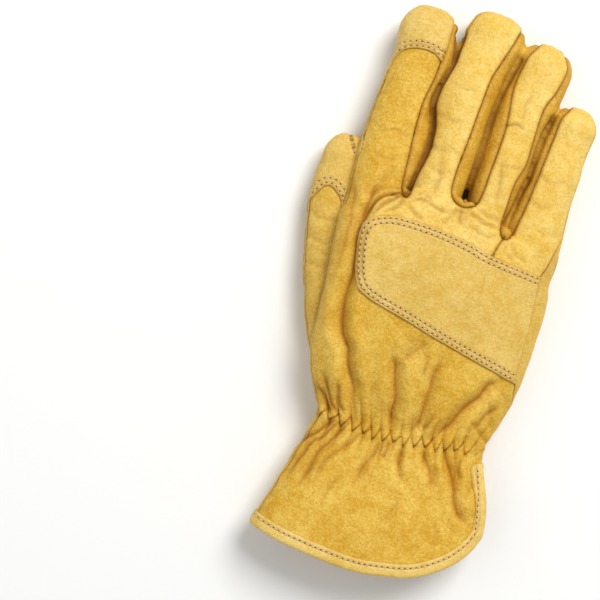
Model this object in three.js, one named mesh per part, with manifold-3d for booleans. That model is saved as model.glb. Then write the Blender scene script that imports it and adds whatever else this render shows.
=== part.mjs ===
// A leather ground glove for the right hand, lying palm down with its back up. Millimetres, +Z up.
// +Y runs to the fingertips, the thumb is on the -X side. The tables below are measured on one flat sheet,
// with Y from the cuff's lowest point, and the finished glove is moved so that its footprint is centred on
// the origin and its palm patch lies on Z = 0.
import * as THREE from 'three';
import { LoftGeometry } from 'three/addons/geometries/LoftGeometry.js';
import { mergeVertices } from 'three/addons/utils/BufferGeometryUtils.js';
import Module from 'manifold-3d';

const wasm = await Module();
wasm.setup();

// Driving dimensions
const LEATHER = 1.6; // one layer of leather
const SEAM_GAP = 0.3; // clearance between neighbouring pieces
const OVERLAY = SEAM_GAP + LEATHER; // outer face of a layer sewn on top of another
const SIDE_SEAM = 2.7; // how far inside the outline the back and palm pieces meet
const BINDING_WIDTH = 5.6; // width of the rolled hem
const BINDING_ROLL = SEAM_GAP + LEATHER; // the hem's roll past the leather's edge
const VENT_TOP = 61.5; // where the open side slit of the cuff begins
const GATHER_LINE = 62.5; // the elastic across the wrist
const GATHER_DEPTH = 1.5; // half the height of the pleats at the elastic
const GATHER_REACH = 13; // how fast the pleats fade above and below it
const TALL = 80; // above everything
const DEEP = -10; // below everything
const MERGE = 1e-4;
const STRIP_MIDDLE = 17; // a height inside every finger's hollow
const PATCH_REACH = 10; // how far up the curve of the palm its patch goes

const BACK_TEETH = 14; // pleats across the back of the wrist
const PALM_TEETH = 9; // pleats across the palm side

const table = (columns, lines) =>
  lines.map((line) => Object.fromEntries(columns.map((name, i) => [name, line[i]])));

// Sections of each tube: the outline's left and right, lowest and highest point, and the height of each edge.
// round is the tip's end, full is how square the section is.
const SECTION = ['y', 'left', 'right', 'under', 'over', 'leftEdge', 'rightEdge'];

const LINING = { over: 10, under: 8 };

const CUFF = {
  full: 2.5,
  over: { count: 14, spread: 0.965 },
  under: { count: 9, spread: 0.93 },
  lining: LINING,
  rows: table(SECTION, [
    [-9, -68.5, 47, 0, 33, 15, 15],
    [8, -65, 46.5, 0, 33, 15, 15],
    [22, -60.7, 45.2, 0, 32, 15, 15],
    [36, -57, 43, 0.2, 30.2, 14.8, 14.8],
  ]),
};

const WRIST = {
  full: 2.5,
  over: { count: 2 * BACK_TEETH, spread: 0.965 },
  under: { count: 2 * PALM_TEETH, spread: 0.93 },
  lining: LINING,
  rows: table(SECTION, [
    [36, -57, 43, 0.2, 30.2, 14.8, 14.8],
    [46, -54, 40, 0.8, 28.6, 14.2, 14.2],
    [54, -51.5, 35.4, 1.4, 27.2, 13.5, 13.5],
    [60, -50, 31, 2, 26.5, 13.5, 13.5],
    [65, -49.8, 28.8, 2, 26.5, 14, 13.5],
    [72, -52.6, 28.5, 1.7, 28, 15.4, 13.5],
    [80, -57, 31, 0.8, 30, 17.2, 13.5],
    [91, -60.4, 34.6, 0, 32.3, 19.2, 13.5],
  ]),
};

const HAND = {
  full: 2.5,
  over: { count: 17, spread: 0.965 },
  under: { count: 10, spread: 0.93 },
  lining: LINING,
  rows: table(SECTION, [
    [91, -60.4, 34.6, 0, 32.3, 19.2, 13.5],
    [105, -61.8, 37.2, 0, 33.8, 21.2, 13.5],
    [120, -63.2, 38.4, 0, 35, 23.4, 14],
    [136, -64.5, 38.2, 0, 36, 25, 14.5],
    [151, -65.3, 37.5, 0, 36, 25.5, 15],
    [165, -65.7, 36.2, 1, 34.4, 24.4, 15],
    [180, -65, 34, 3, 31, 21, 15],
  ]),
};

const FINGER = { full: 2.3, over: { count: 6 }, under: { count: 4 }, lining: { over: 5, under: 4 } };

const INDEX = {
  ...FINGER,
  round: { y: 256.6, x: -51 },
  rows: table(SECTION, [
    [138, -63, -43, 13, 31, 23.5, 23.5],
    [180, -64.7, -40.8, 5, 30.7, 18.8, 18.8],
    [198, -64.9, -37, 5, 28.2, 16.6, 16.6],
    [214, -63.2, -38.8, 4.3, 27.2, 15.8, 15.8],
    [229, -61.7, -38, 2.8, 25.9, 14.7, 14.7],
    [243, -62.4, -36.4, 1.9, 24.5, 13.5, 13.5],
  ]),
};

const MIDDLE = {
  ...FINGER,
  round: { y: 263.9, x: -21.5 },
  rows: table(SECTION, [
    [158, -35, -15, 4, 32.5, 19, 19],
    [179, -36.8, -13.4, 3.5, 32.8, 18, 18],
    [196, -35, -12.5, 4, 30.3, 16.8, 16.8],
    [214, -37.2, -12, 3.5, 28.7, 16, 16],
    [230, -36.6, -11, 2.2, 27.2, 14.8, 14.8],
    [247, -33.5, -4.8, 1.9, 24.5, 13.5, 13.5],
  ]),
};

const RING = {
  ...FINGER,
  round: { y: 256.1, x: 6.5 },
  rows: table(SECTION, [
    [158, -9, 8.6, 4, 31.5, 17.5, 17.5],
    [179, -10.8, 9.7, 2.7, 31.9, 17, 17],
    [196, -10.7, 12, 3.4, 30, 16.3, 16.3],
    [214, -10, 12.8, 2.8, 28.2, 15.5, 15.5],
    [229, -8.6, 17.6, 1.9, 26.6, 14.2, 14.2],
    [241, -6.2, 20, 1.9, 25, 13.5, 13.5],
  ]),
};

const LITTLE = {
  ...FINGER,
  round: { y: 231.7, x: 27 },
  rows: table(SECTION, [
    [145, 12.4, 37, 4, 25, 15, 15],
    [177, 12.7, 34.9, 1.9, 27.9, 15, 15],
    [192, 13.9, 34, 2.6, 25.8, 14.4, 14.4],
    [207, 15.5, 35.6, 2.2, 24.7, 13.8, 13.8],
    [219, 18.4, 37, 1.9, 24, 13.5, 13.5],
  ]),
};

const THUMB = {
  ...FINGER,
  round: { y: 190, x: -71 },
  rows: table(SECTION, [
    [84, -57, -40, 3, 18, 10.5, 10.5],
    [93, -62.8, -36, 1.9, 19.6, 10.8, 10.8],
    [105, -68, -37.4, 1.9, 20.8, 11, 11],
    [120, -72.2, -42, 1.9, 21, 11.2, 11.2],
    [136, -76, -47.5, 1.9, 20.5, 11, 11],
    [150, -78, -50.8, 1.9, 19.9, 11, 11],
    [163, -78.6, -53, 1.9, 19.2, 10.7, 10.7],
    [175, -77.6, -55.5, 1.9, 18.6, 10.4, 10.4],
  ]),
};

// The hand's front edge between the fingers is an arch, highest beside the middle finger.
const FRONT = { y: 176.5, x: -20, bend: 0.0095 };

// Where the index side of the hand lies over the thumb, its underside is lifted clear of it.
const THUMB_BAY = { lift: 9, fullX: -57, endX: -41, startY: 118, fullY: 136 };

// Folds pressed into the back of the hand: from and to in plan, depth and half-width.
const BACK_FOLDS = table(['x0', 'y0', 'x1', 'y1', 'depth', 'half'], [
  [-55, 170, -58, 152, 2.2, 5.5],
  [-58, 152, -57, 132, 2.6, 5.5],
  [-57, 132, -49, 104, 2.6, 6],
  [-49, 104, -37, 80, 2.2, 6],
  [-37, 80, -33, 64, 1.6, 5],
  [-20, 96, -18, 66, 1.6, 5],
  [4, 92, -6, 66, 1.6, 5],
  [16, 92, 6, 68, 1.4, 5],
  [-39, 171, -40, 161, 1.8, 4.5],
  [-13, 173, -11, 163, 1.8, 4.5],
  [10, 165, 7, 154, 1.8, 4.5],
]);

// Seams between the fingers, seen from above: the strip lies between the two lines and round the crotch.
const INDEX_MIDDLE = [
  [-40, 250], [-40.6, 236], [-43, 212], [-43.6, 192], [-43.6, 176], [-42.6, 171], [-39.4, 168.4],
  [-34.8, 169.8], [-32.8, 176], [-31.8, 192], [-33.4, 214], [-33.2, 229], [-29.4, 249], [-27, 258],
  [-34, 263], [-39, 259],
];
const MIDDLE_RING = [
  [-8.1, 257.5], [-12, 244], [-16, 231], [-18, 208], [-19.6, 188], [-19.2, 177.5], [-17, 173.4],
  [-13.4, 172], [-9.6, 173], [-7.2, 177.5], [-5.5, 192.5], [-4.4, 212], [-4.9, 229], [-2.8, 242],
  [2.4, 255], [-2, 260],
];
const RING_LITTLE = [
  [12.6, 254], [15.4, 246], [14, 235], [11, 226], [9, 212], [8.4, 197], [6.6, 184], [6.2, 170],
  [7.4, 164.6], [10.6, 163], [13.8, 166], [15.6, 174], [17.4, 192], [19, 208], [21.6, 219],
  [24.8, 232], [27, 250], [18, 259],
];

// The seam under the knuckle band, the fold from the index crotch to it and the short seam by the ring finger.
const CROTCH_SEAM = [[-40.2, 170.2], [-47, 166], [-52.5, 159], [-51, 148], [-45, 140]];
const LITTLE_SEAM = [[9, 164.4], [6.4, 156], [5.4, 148], [4, 136]];

const BAND = [
  [-55.2, 148.4], [-53.4, 153.4], [-48.4, 157.2], [-39.5, 159.3], [-21.6, 158.9], [-4.1, 156.3],
  [5.2, 153.9], [33.2, 150.8], [34, 137], [33.9, 123], [32.6, 101], [-1.5, 108.7], [-25.4, 115.2],
  [-44.7, 120.7], [-51.3, 128.4], [-54.4, 139],
];

const PALM_PATCH = [
  [-43, 94], [-25, 93.8], [-6.7, 94.6], [12.4, 96.8], [22, 99.5], [29, 102.6], [32.6, 108], [34.2, 117],
  [35, 126], [35.2, 144], [35, 160], [33.6, 172], [30.6, 182.6], [23, 184], [17.8, 181], [16.6, 172],
  [12, 168.6], [8.6, 170.6], [7, 178], [6.8, 186], [4, 189], [-4, 189.4], [-8, 186], [-9, 178],
  [-12.4, 175], [-15.4, 179], [-16.6, 187], [-21.9, 189.4], [-29, 187.6], [-31.4, 180], [-34, 174.5],
  [-40, 172.4], [-47, 171], [-48.4, 158], [-46.8, 146], [-43.6, 134], [-42, 120], [-42.6, 106],
];

// The index overlay's spine, arms and tip on the palm side, and its cap and edge on the back.
const INDEX_FRONT = [
  [-68, 270], [-68, 174], [-56.8, 174], [-56.8, 205], [-54, 209.6], [-41.4, 209.6], [-40.4, 222.4],
  [-53, 222.4], [-56.6, 225.4], [-57.2, 228.4], [-56, 231.4], [-52.4, 234.2], [-39.6, 234.2],
  [-39.2, 250], [-36.6, 262], [-42, 270],
];
const INDEX_CAP = [
  [-68, 270], [-68, 182], [-63.4, 182], [-62.6, 205], [-61, 224], [-59.6, 231.6], [-55.6, 235.2],
  [-48.4, 236.2], [-43.8, 235.6], [-40.6, 233.4], [-39.6, 236], [-39.2, 250], [-36.6, 262], [-42, 270],
];
const MIDDLE_TIP = [
  [-31.6, 236], [-24, 237], [-16.8, 236.6], [-12.6, 246], [-8.8, 256.4], [-5, 270], [-40, 270],
  [-29.6, 256], [-31.8, 248],
];
const THUMB_CAP = [
  [-84, 156], [-80, 157.2], [-76.6, 164], [-73.6, 165.6], [-70.4, 163.6], [-67, 158], [-62, 152],
  [-50, 150], [-50, 196], [-84, 196],
];
const THUMB_FRONT = [
  [-84, 122], [-68, 121.6], [-57, 127], [-46, 133], [-46, 158], [-60, 196], [-84, 196],
];
const THUMB_WINDOW = [
  [-74, 145.4], [-65.6, 150.4], [-63.2, 154.4], [-64.4, 158], [-68.4, 158.6], [-75.4, 155], [-79, 150],
  [-79.2, 146],
];

// The hem's outer edge on the back and on the palm side, from the vent round to the thumb side.
const HEM_START = [-70, 6.4];
const BACK_HEM = [
  [29.6, VENT_TOP], [33.8, 52], [36.9, 41], [37.5, 32], [34.2, 21.2], [25.9, 12.2], [12, 4], [-4, 0.4],
  [-20, -0.8], [-48, 2], [-60, 4.2], HEM_START,
];
const PALM_HEM = [
  [28.6, VENT_TOP], [31.2, 48], [31.6, 37], [29.3, 24], [23.8, 13], [13, 4.4], [0, 0], [-14, -1.8],
  [-30, -1.2], [-48, 1.6], [-60, 4.2], HEM_START,
];

const LEATHERS = {
  back: { color: 0xdba93a, roughness: 0.82 },
  knuckle: { color: 0xe3bb55, roughness: 0.74 },
  palm: { color: 0xe2b850, roughness: 0.72 },
  overlay: { color: 0xe7c266, roughness: 0.7 },
  strip: { color: 0xd29f2c, roughness: 0.78 },
  binding: { color: 0xe9cb7c, roughness: 0.7 },
};

// Shapes

const points = (list) => list.map(([x, y]) => new THREE.Vector2(x, y));
const spline = (list, steps) => new THREE.SplineCurve(points(list)).getPoints(steps);

// A closed mesh as a solid that can be joined and cut.
function solid(geometry) {
  const bare = new THREE.BufferGeometry().setAttribute('position', geometry.attributes.position);
  const merged = mergeVertices(bare.setIndex(geometry.index), MERGE);
  return new wasm.Manifold(new wasm.Mesh({
    numProp: 3,
    vertProperties: new Float32Array(merged.attributes.position.array),
    triVerts: new Uint32Array(merged.index.array),
  }));
}

const join = (...solids) => solids.reduce((sum, next) => sum.add(next));

// The upright block over an outline. Each height is a number, or a function of the place in plan.
function block(outline, low, high) {
  const geometry = new THREE.ExtrudeGeometry(new THREE.Shape(outline), { depth: 1, bevelEnabled: false });
  const position = geometry.attributes.position;
  for (let i = 0; i < position.count; i++) {
    const level = position.getZ(i) < 0.5 ? low : high;
    position.setZ(i, typeof level === 'function' ? level(position.getX(i), position.getY(i)) : level);
  }
  return solid(geometry);
}

// An outline moved outwards by a distance, along the mean of its two neighbouring edges' normals.
function grown(outline, distance) {
  const turn = THREE.ShapeUtils.isClockWise(outline) ? -1 : 1;
  return outline.map((point, i) => {
    const before = point.clone().sub(outline.at(i - 1)).normalize();
    const after = outline[(i + 1) % outline.length].clone().sub(point).normalize();
    const along = before.add(after).normalize();
    return new THREE.Vector2(point.x + turn * distance * along.y, point.y - turn * distance * along.x);
  });
}

const crown = (across, full) => (1 - Math.abs(across) ** full) ** (1 / full);
const mix = (a, b, t) => a + (b - a) * t;
const ease = (t) => {
  const held = Math.min(1, Math.max(0, t));
  return held * held * (3 - 2 * held);
};

// Places round a section: the thumb-side edge, over the back, the other edge, and back underneath.
// An inner face has fewer of them than the outer one.
function ring(part, inside) {
  const side = (sign, { count, spread }, few) => {
    const places = Array.from({ length: spread && !inside ? count + 1 : (inside ? few : count) - 1 }, (_, k) => ({
      across: spread && !inside ? spread * (2 * k / count - 1) : -Math.cos(Math.PI * (k + 1) / (inside ? few : count)),
      sign,
      tooth: k % 2 ? 1 : -1,
    }));
    return sign > 0 ? places : places.reverse();
  };
  const edge = (across) => ({ across, sign: 1, tooth: 0 });
  return [
    edge(-1), ...side(1, part.over, part.lining.over),
    edge(1), ...side(-1, part.under, part.lining.under),
  ];
}

// The depth of the folds at a place. Under the leather they are wider, so that it keeps its thickness.
function foldDepth(x, y, inside) {
  return BACK_FOLDS.reduce((sum, fold) => {
    const along = new THREE.Vector2(fold.x1 - fold.x0, fold.y1 - fold.y0);
    const from = new THREE.Vector2(x - fold.x0, y - fold.y0);
    const t = Math.min(1, Math.max(0, from.dot(along) / along.lengthSq()));
    const away = from.sub(along.multiplyScalar(t)).length() / (fold.half * (inside ? 2.4 : 1));
    return Math.max(sum, away < 1 ? fold.depth * (1 - away * away) ** 2 : 0);
  }, 0);
}

// The pleats point up above the elastic where they point down below it, which makes the elastic's zigzag.
function pleat(y) {
  const away = y - GATHER_LINE;
  return Math.sign(away) * GATHER_DEPTH * Math.exp(-Math.abs(away) / GATHER_REACH);
}

// The sections of one tube at a distance outside its leather's outer face, with its domed end.
function sections(part, distance, inside = distance < 0) {
  const last = part.rows.at(-1);
  const domes = part.round
    ? [0.5, 0.84, 0.98].map((sine) => ({ ...last, sine, size: Math.sqrt(1 - sine * sine) ** 0.82 }))
    : [];
  return [...part.rows, ...domes].map((row) => {
    const size = row.size ?? 1;
    const reach = part.round ? (part.round.y + distance - last.y) * (row.sine ?? 0) : 0;
    const centre = mix((row.left + row.right) / 2, part.round?.x ?? 0, 1 - size);
    const half = size * ((row.right - row.left) / 2 + distance);
    const middle = (row.leftEdge + row.rightEdge) / 2;
    return ring(part, inside).map(({ across, sign, tooth }) => {
      const x = centre + across * half;
      const level = mix(row.leftEdge, row.rightEdge, (across + 1) / 2);
      const rise = size * ((sign > 0 ? row.over - middle : middle - row.under) + distance);
      let z = level + sign * rise * crown(across, part.full);
      if (part.over.spread) z += handRelief(x, row.y, sign, tooth, across, inside);
      return new THREE.Vector3(x, row.y + reach, Math.max(z, OVERLAY - distance));
    });
  });
}

// How far the pleats, folds and the space for the thumb move a place on the hand up or down.
function handRelief(x, y, sign, tooth, across, inside) {
  const flat = crown(across, HAND.full);
  const pleated = inside ? -sign * Math.abs(pleat(y)) : tooth * pleat(y);
  if (sign > 0) return flat * (pleated - foldDepth(x, y, inside));
  const bay = THUMB_BAY.lift * ease((THUMB_BAY.endX - x) / (THUMB_BAY.endX - THUMB_BAY.fullX));
  const lift = bay * ease((y - THUMB_BAY.startY) / (THUMB_BAY.fullY - THUMB_BAY.startY));
  return flat * (pleated + lift);
}

// The space behind the arch between the fingers.
function behindFront(distance) {
  const arch = Array.from({ length: 15 }, (_, i) => {
    const x = FRONT.x + 10 * (i - 7);
    return [x, FRONT.y + distance - FRONT.bend * (x - FRONT.x) ** 2];
  });
  return block(points([...arch, [60, 60], [-100, 60]]), DEEP, TALL);
}

const tube = (part, distance) =>
  solid(new LoftGeometry(sections(part, distance), { capStart: true, capEnd: true }));

// The height of the side seam at a place, from the tube's own edges.
function seamHeight(part) {
  return (x, y) => {
    const above = part.rows.findIndex((row) => row.y > y);
    const next = part.rows.at(above < 0 ? -1 : Math.max(above, 1));
    const prior = part.rows[Math.max(part.rows.indexOf(next) - 1, 0)];
    const t = Math.min(1, Math.max(0, (y - prior.y) / (next.y - prior.y || 1)));
    const left = mix(prior.left, next.left, t);
    const across = (x - left) / (mix(prior.right, next.right, t) - left);
    return mix(mix(prior.leftEdge, next.leftEdge, t), mix(prior.rightEdge, next.rightEdge, t), across);
  };
}

// The block above a tube's side seams.
function plan(part, distance) {
  const rings = sections(part, distance, true);
  const right = part.lining.over;
  const flat = (point) => new THREE.Vector2(point.x, point.y);
  const outline = [...rings.map((section) => flat(section[0])), ...rings.map((section) => flat(section[right])).reverse()];
  return block(outline, seamHeight(part), TALL);
}

// A layer of leather: what lies between two distances from a form.
const layer = (form, outside, inside) => form(outside).subtract(form(inside));

const memory = new Map();
function remembered(name, distance, make) {
  const key = `${name} ${distance}`;
  if (!memory.has(key)) memory.set(key, make(distance));
  return memory.get(key);
}
const FINGERS = [INDEX, MIDDLE, RING, LITTLE];
const cuff = (distance) => remembered('cuff', distance, (d) => join(tube(CUFF, d), tube(WRIST, d)));
const hand = (distance) => remembered('hand', distance, (d) => tube(HAND, d).intersect(behindFront(d)));
const thumb = (distance) => remembered('thumb', distance, (d) => tube(THUMB, d));
const mitt = (distance) =>
  remembered('mitt', distance, (d) => join(hand(d), ...FINGERS.map((finger) => tube(finger, d))));

// The space outside a hem line, kept a distance away from it.
function outsideHem(hem, inward, low, high, top) {
  const line = spline(hem, 15);
  const inner = line.map((point, i) => {
    const along = line[Math.min(i + 1, line.length - 1)].clone().sub(line[Math.max(i - 1, 0)]).normalize();
    return new THREE.Vector2(point.x + inward * along.y, Math.min(point.y - inward * along.x, top));
  });
  inner[0].y = top;
  const far = points([[-90, inner.at(-1).y], [-90, -40], [70, -40], [70, top]]);
  return block([...inner, ...far], low, high);
}
const cuffSeam = () => CUFF.rows[0].leftEdge;
const outsideHems = (inward, top) => join(
  outsideHem(BACK_HEM, inward, (x, y) => cuffSeam(x, y) - LEATHER, TALL, top),
  outsideHem(PALM_HEM, inward, DEEP, (x, y) => cuffSeam(x, y) + LEATHER, top),
);

// Pieces

const pieces = new Map();

function makeShell() {
  const root = thumb(-LEATHER).intersect(block(points([[-90, 70], [-20, 70], [-20, 130], [-90, 130]]), DEEP, TALL));
  const whole = join(cuff(0), mitt(0)).subtract(join(cuff(-LEATHER), mitt(-LEATHER)));
  return whole.subtract(root).subtract(outsideHems(BINDING_ROLL, VENT_TOP));
}

const STRIPS = { index_middle: INDEX_MIDDLE, middle_ring: MIDDLE_RING, ring_little: RING_LITTLE };
const stripBlocks = (distance, low) =>
  join(...Object.values(STRIPS).map((line) => block(grown(points(line), distance), low, TALL)));

function cutStrips(shell) {
  for (const [name, line] of Object.entries(STRIPS)) {
    const outline = grown(points(line), -SEAM_GAP / 2);
    pieces.set(`fourchette_${name}`, shell.intersect(block(outline, DEEP, TALL)));
  }
  return shell.subtract(stripBlocks(SEAM_GAP / 2, DEEP));
}

function cutBackAndPalm(shell) {
  const above = (distance) => join(
    ...[CUFF, WRIST, HAND, ...FINGERS].map((part) => plan(part, distance)),
    stripBlocks(4 * SEAM_GAP, STRIP_MIDDLE),
  );
  const upper = above(-SIDE_SEAM - SEAM_GAP / 2);
  const back = shell.intersect(upper);
  pieces.set('palm_panel', shell.subtract(above(-SIDE_SEAM + SEAM_GAP / 2)).subtract(upper));
  const fingerEnd = [[14, 200], [22, 232], [30, 262], [-30, 275], [-37, 256], [-38.3, 216], [-38, 180]];
  const under = [[-20, 137], [4, 136]];
  const knuckles = points([...CROTCH_SEAM, ...under.slice(0, 1), ...[...LITTLE_SEAM].reverse(), ...fingerEnd]);
  const little = points([...LITTLE_SEAM, [60, 128], [60, 250], [31, 250], [22, 231], [14, 200]]);
  const whole = (outline, distance) => block(grown(outline, distance), DEEP, TALL);
  pieces.set('knuckle_panel', back.intersect(whole(knuckles, -SEAM_GAP / 2)));
  pieces.set('little_back', back.intersect(whole(little, -SEAM_GAP / 2)));
  pieces.set('back_panel', back.subtract(whole(knuckles, SEAM_GAP / 2)).subtract(whole(little, SEAM_GAP / 2)));
}

// The index finger and its overlay, which lie over the thumb's edge.
const overThumb = () => tube(INDEX, OVERLAY + SEAM_GAP);

function makeThumb() {
  const shell = layer(thumb, 0, -LEATHER).subtract(join(hand(SEAM_GAP), cuff(SEAM_GAP), overThumb()));
  pieces.set('thumb_back', shell.intersect(plan(THUMB, -SIDE_SEAM - SEAM_GAP / 2)));
  pieces.set('thumb_palm', shell.subtract(plan(THUMB, -SIDE_SEAM + SEAM_GAP / 2)));
}

function makeOverlays() {
  const sewnOn = (form) => layer(form, OVERLAY, SEAM_GAP);
  const front = (part, outline) => block(outline, DEEP, seamHeight(part));
  const back = (part, outline) => block(outline, seamHeight(part), TALL);
  const finger = (part) => (distance) => tube(part, distance);

  pieces.set('knuckle_band', sewnOn(hand).intersect(back(HAND, points(BAND))).subtract(tube(LITTLE, SEAM_GAP)));
  const palm = block(points(PALM_PATCH), DEEP, PATCH_REACH).subtract(stripBlocks(SEAM_GAP, DEEP));
  pieces.set('palm_patch', sewnOn(mitt).intersect(palm).subtract(thumb(SEAM_GAP)));
  const index = join(front(INDEX, points(INDEX_FRONT)), back(INDEX, points(INDEX_CAP)));
  pieces.set('index_overlay', sewnOn(finger(INDEX)).intersect(index)
    .subtract(join(tube(MIDDLE, SEAM_GAP), hand(SEAM_GAP))));
  pieces.set('middle_tip_patch', sewnOn(finger(MIDDLE)).intersect(front(MIDDLE, points(MIDDLE_TIP))));
  const thumbArea = join(
    front(THUMB, points(THUMB_FRONT)).subtract(block(points(THUMB_WINDOW), DEEP, TALL)),
    back(THUMB, points(THUMB_CAP)),
  );
  pieces.set('thumb_overlay', sewnOn(thumb).intersect(thumbArea).subtract(join(hand(SEAM_GAP), overThumb())));
}

function makeBinding() {
  const top = VENT_TOP - SEAM_GAP;
  const strip = outsideHems(BINDING_WIDTH, top).subtract(outsideHems(0, top + 20));
  const wrap = layer(cuff, OVERLAY, -LEATHER - OVERLAY).intersect(strip);
  const leather = layer(cuff, SEAM_GAP, -LEATHER - SEAM_GAP).subtract(outsideHems(BINDING_ROLL - SEAM_GAP, top + 20));
  pieces.set('cuff_binding', wrap.subtract(leather));
}

cutBackAndPalm(cutStrips(makeShell()));
makeThumb();
makeOverlays();
makeBinding();

const FINISH = {
  back_panel: LEATHERS.back,
  knuckle_panel: LEATHERS.knuckle,
  little_back: LEATHERS.knuckle,
  palm_panel: LEATHERS.palm,
  thumb_back: LEATHERS.palm,
  thumb_palm: LEATHERS.palm,
  fourchette_index_middle: LEATHERS.strip,
  fourchette_middle_ring: LEATHERS.strip,
  fourchette_ring_little: LEATHERS.strip,
  knuckle_band: LEATHERS.overlay,
  palm_patch: LEATHERS.overlay,
  index_overlay: LEATHERS.overlay,
  middle_tip_patch: LEATHERS.overlay,
  thumb_overlay: LEATHERS.overlay,
  cuff_binding: LEATHERS.binding,
};

function meshOf(name, piece) {
  const { vertProperties, triVerts } = piece.getMesh();
  const geometry = new THREE.BufferGeometry();
  geometry.setAttribute('position', new THREE.BufferAttribute(new Float32Array(vertProperties), 3));
  geometry.setIndex(new THREE.BufferAttribute(new Uint32Array(triVerts), 1));
  geometry.computeVertexNormals();
  const mesh = new THREE.Mesh(geometry, new THREE.MeshStandardMaterial({ ...FINISH[name], metalness: 0 }));
  mesh.name = name;
  return mesh;
}

const glove = new THREE.Group();
for (const [name, piece] of pieces) glove.add(meshOf(name, piece));

// The footprint's middle goes to the origin, and the lowest face to Z = 0.
const box = new THREE.Box3().setFromObject(glove);
glove.position.set(-(box.min.x + box.max.x) / 2, -(box.min.y + box.max.y) / 2, -box.min.z);

export default glove;
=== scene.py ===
import math

import bmesh
import bpy
import numpy as np
from mathutils import Matrix, Vector, kdtree, noise
from mathutils.bvhtree import BVHTree


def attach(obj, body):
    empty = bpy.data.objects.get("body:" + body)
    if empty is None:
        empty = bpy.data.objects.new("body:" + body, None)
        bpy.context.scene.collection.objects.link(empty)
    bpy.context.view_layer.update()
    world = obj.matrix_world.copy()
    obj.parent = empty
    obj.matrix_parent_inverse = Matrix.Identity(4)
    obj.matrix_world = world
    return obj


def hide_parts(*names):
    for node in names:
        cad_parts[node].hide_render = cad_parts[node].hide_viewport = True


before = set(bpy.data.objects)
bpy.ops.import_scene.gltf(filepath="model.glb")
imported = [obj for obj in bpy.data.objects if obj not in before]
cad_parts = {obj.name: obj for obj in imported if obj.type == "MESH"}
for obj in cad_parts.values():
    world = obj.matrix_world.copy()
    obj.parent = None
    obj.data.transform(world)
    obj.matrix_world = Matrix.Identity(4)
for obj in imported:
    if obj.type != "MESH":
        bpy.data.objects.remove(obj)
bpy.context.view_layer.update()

MM = 0.001
SHIFT = Vector((21.05, -131.78, 0.0))
LEATHER = 1.5  # one layer of leather
BASE = 1.9  # underside of the main leather, where the sewn-on pieces lie under it
VOXEL = 0.9
STITCH_PITCH = 2.6
BINDING_WIDTH = 6.8
HEM_ROW = 4.6  # from the hem's edge to its row of stitches
VENT_TOP = 61.5
HEM_CORNER = 4.5  # radius of the hem's corner at the vent's top
UNDER_HEM = 2.0  # the main leather ends this far in from the hem's edge
OVERLAY = 1.2  # how high a sewn-on leather stands
ROWS = (1.5, 3.7)  # from a sewn-on leather's edge to its two rows of stitches
FAR = 40.0  # stands for the distance of a place that no line is near
OUTSIDE = -9.0  # a side field's value on the palm side and past a tube's ends
LOWEST = -8.5  # a side field's lowest value on the back
NEAR_SEAM = -8.4  # a place with less than this is too far from the side seam for its groove
NO_INSET = ([0], [0])

# Sections of each tube: y, the outline's left and right, the lowest and highest point, each edge's height.
HAND = [
    (-9, -69, 40, 0, 33, 15, 15), (8, -66, 40, 0, 33, 15, 15), (22, -61.6, 39, 0, 32, 15, 15),
    (36, -57.6, 38, .2, 30.2, 14.8, 14.8), (46, -54.6, 35.8, .8, 28.6, 14.2, 14.2),
    (54, -52, 32.8, 1.4, 27.2, 13.5, 13.5), (60, -50.6, 30.4, 2, 26.5, 13.5, 13.5),
    (65, -50.8, 28.6, 2, 26.5, 14, 13.5), (72, -54.4, 29.4, 1.7, 28, 15.4, 13.5),
    (80, -58.8, 32, .8, 30, 17.2, 13.5), (91, -62, 35, 0, 32.3, 19.2, 13.5),
    (105, -63, 37.4, 0, 33.8, 21.2, 13.5), (120, -63.6, 38.2, 0, 35, 23.4, 14),
    (136, -64.8, 38.3, 0, 36, 25, 14.5), (151, -65.6, 37.6, 0, 36, 25.5, 15),
    (165, -65.9, 36.2, 1, 34.4, 24.4, 15), (180, -65.4, 34, 3, 31, 21, 15),
]


def even(rows):
    """Sections whose two edges are at one height, which is given once."""
    return [row + row[-1:] for row in rows]


INDEX = even([
    (138, -63, -43, 13, 31, 23.5), (160, -65.4, -40.5, 7.5, 31, 21),
    (170, -65.9, -39.2, 6, 31, 20), (180, -66, -37.7, 5, 30.7, 18.8),
    (190, -65.9, -36.2, 5, 29.6, 17.6), (198, -65.4, -35.8, 5, 28.6, 16.8),
    (209, -64.5, -37.3, 4.6, 27.6, 16.1), (218, -63.7, -38.8, 4, 26.9, 15.6),
    (229, -62.8, -36.5, 3, 26, 14.8), (237, -62.6, -34.9, 2.3, 25.2, 14),
    (245, -63.4, -35.4, 1.9, 24.5, 13.5),
])
MIDDLE = even([
    (158, -36, -15, 4, 32.5, 19), (170, -38.4, -13.8, 3.6, 32.8, 18.4),
    (178, -38, -13.4, 3.5, 32.8, 18), (187, -36.3, -12.2, 3.8, 31.6, 17.3),
    (194, -35.1, -11.6, 4, 30.6, 16.9), (206, -36.8, -11.6, 3.8, 29.4, 16.4),
    (215, -38.2, -11.3, 3.4, 28.6, 15.9), (223, -37.6, -10.5, 2.8, 27.9, 15.4),
    (236, -35, -8.8, 2, 26.6, 14.4), (243, -33.9, -7, 1.9, 25.4, 13.8),
    (250, -33, -4, 1.9, 24.5, 13.5),
])
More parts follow.
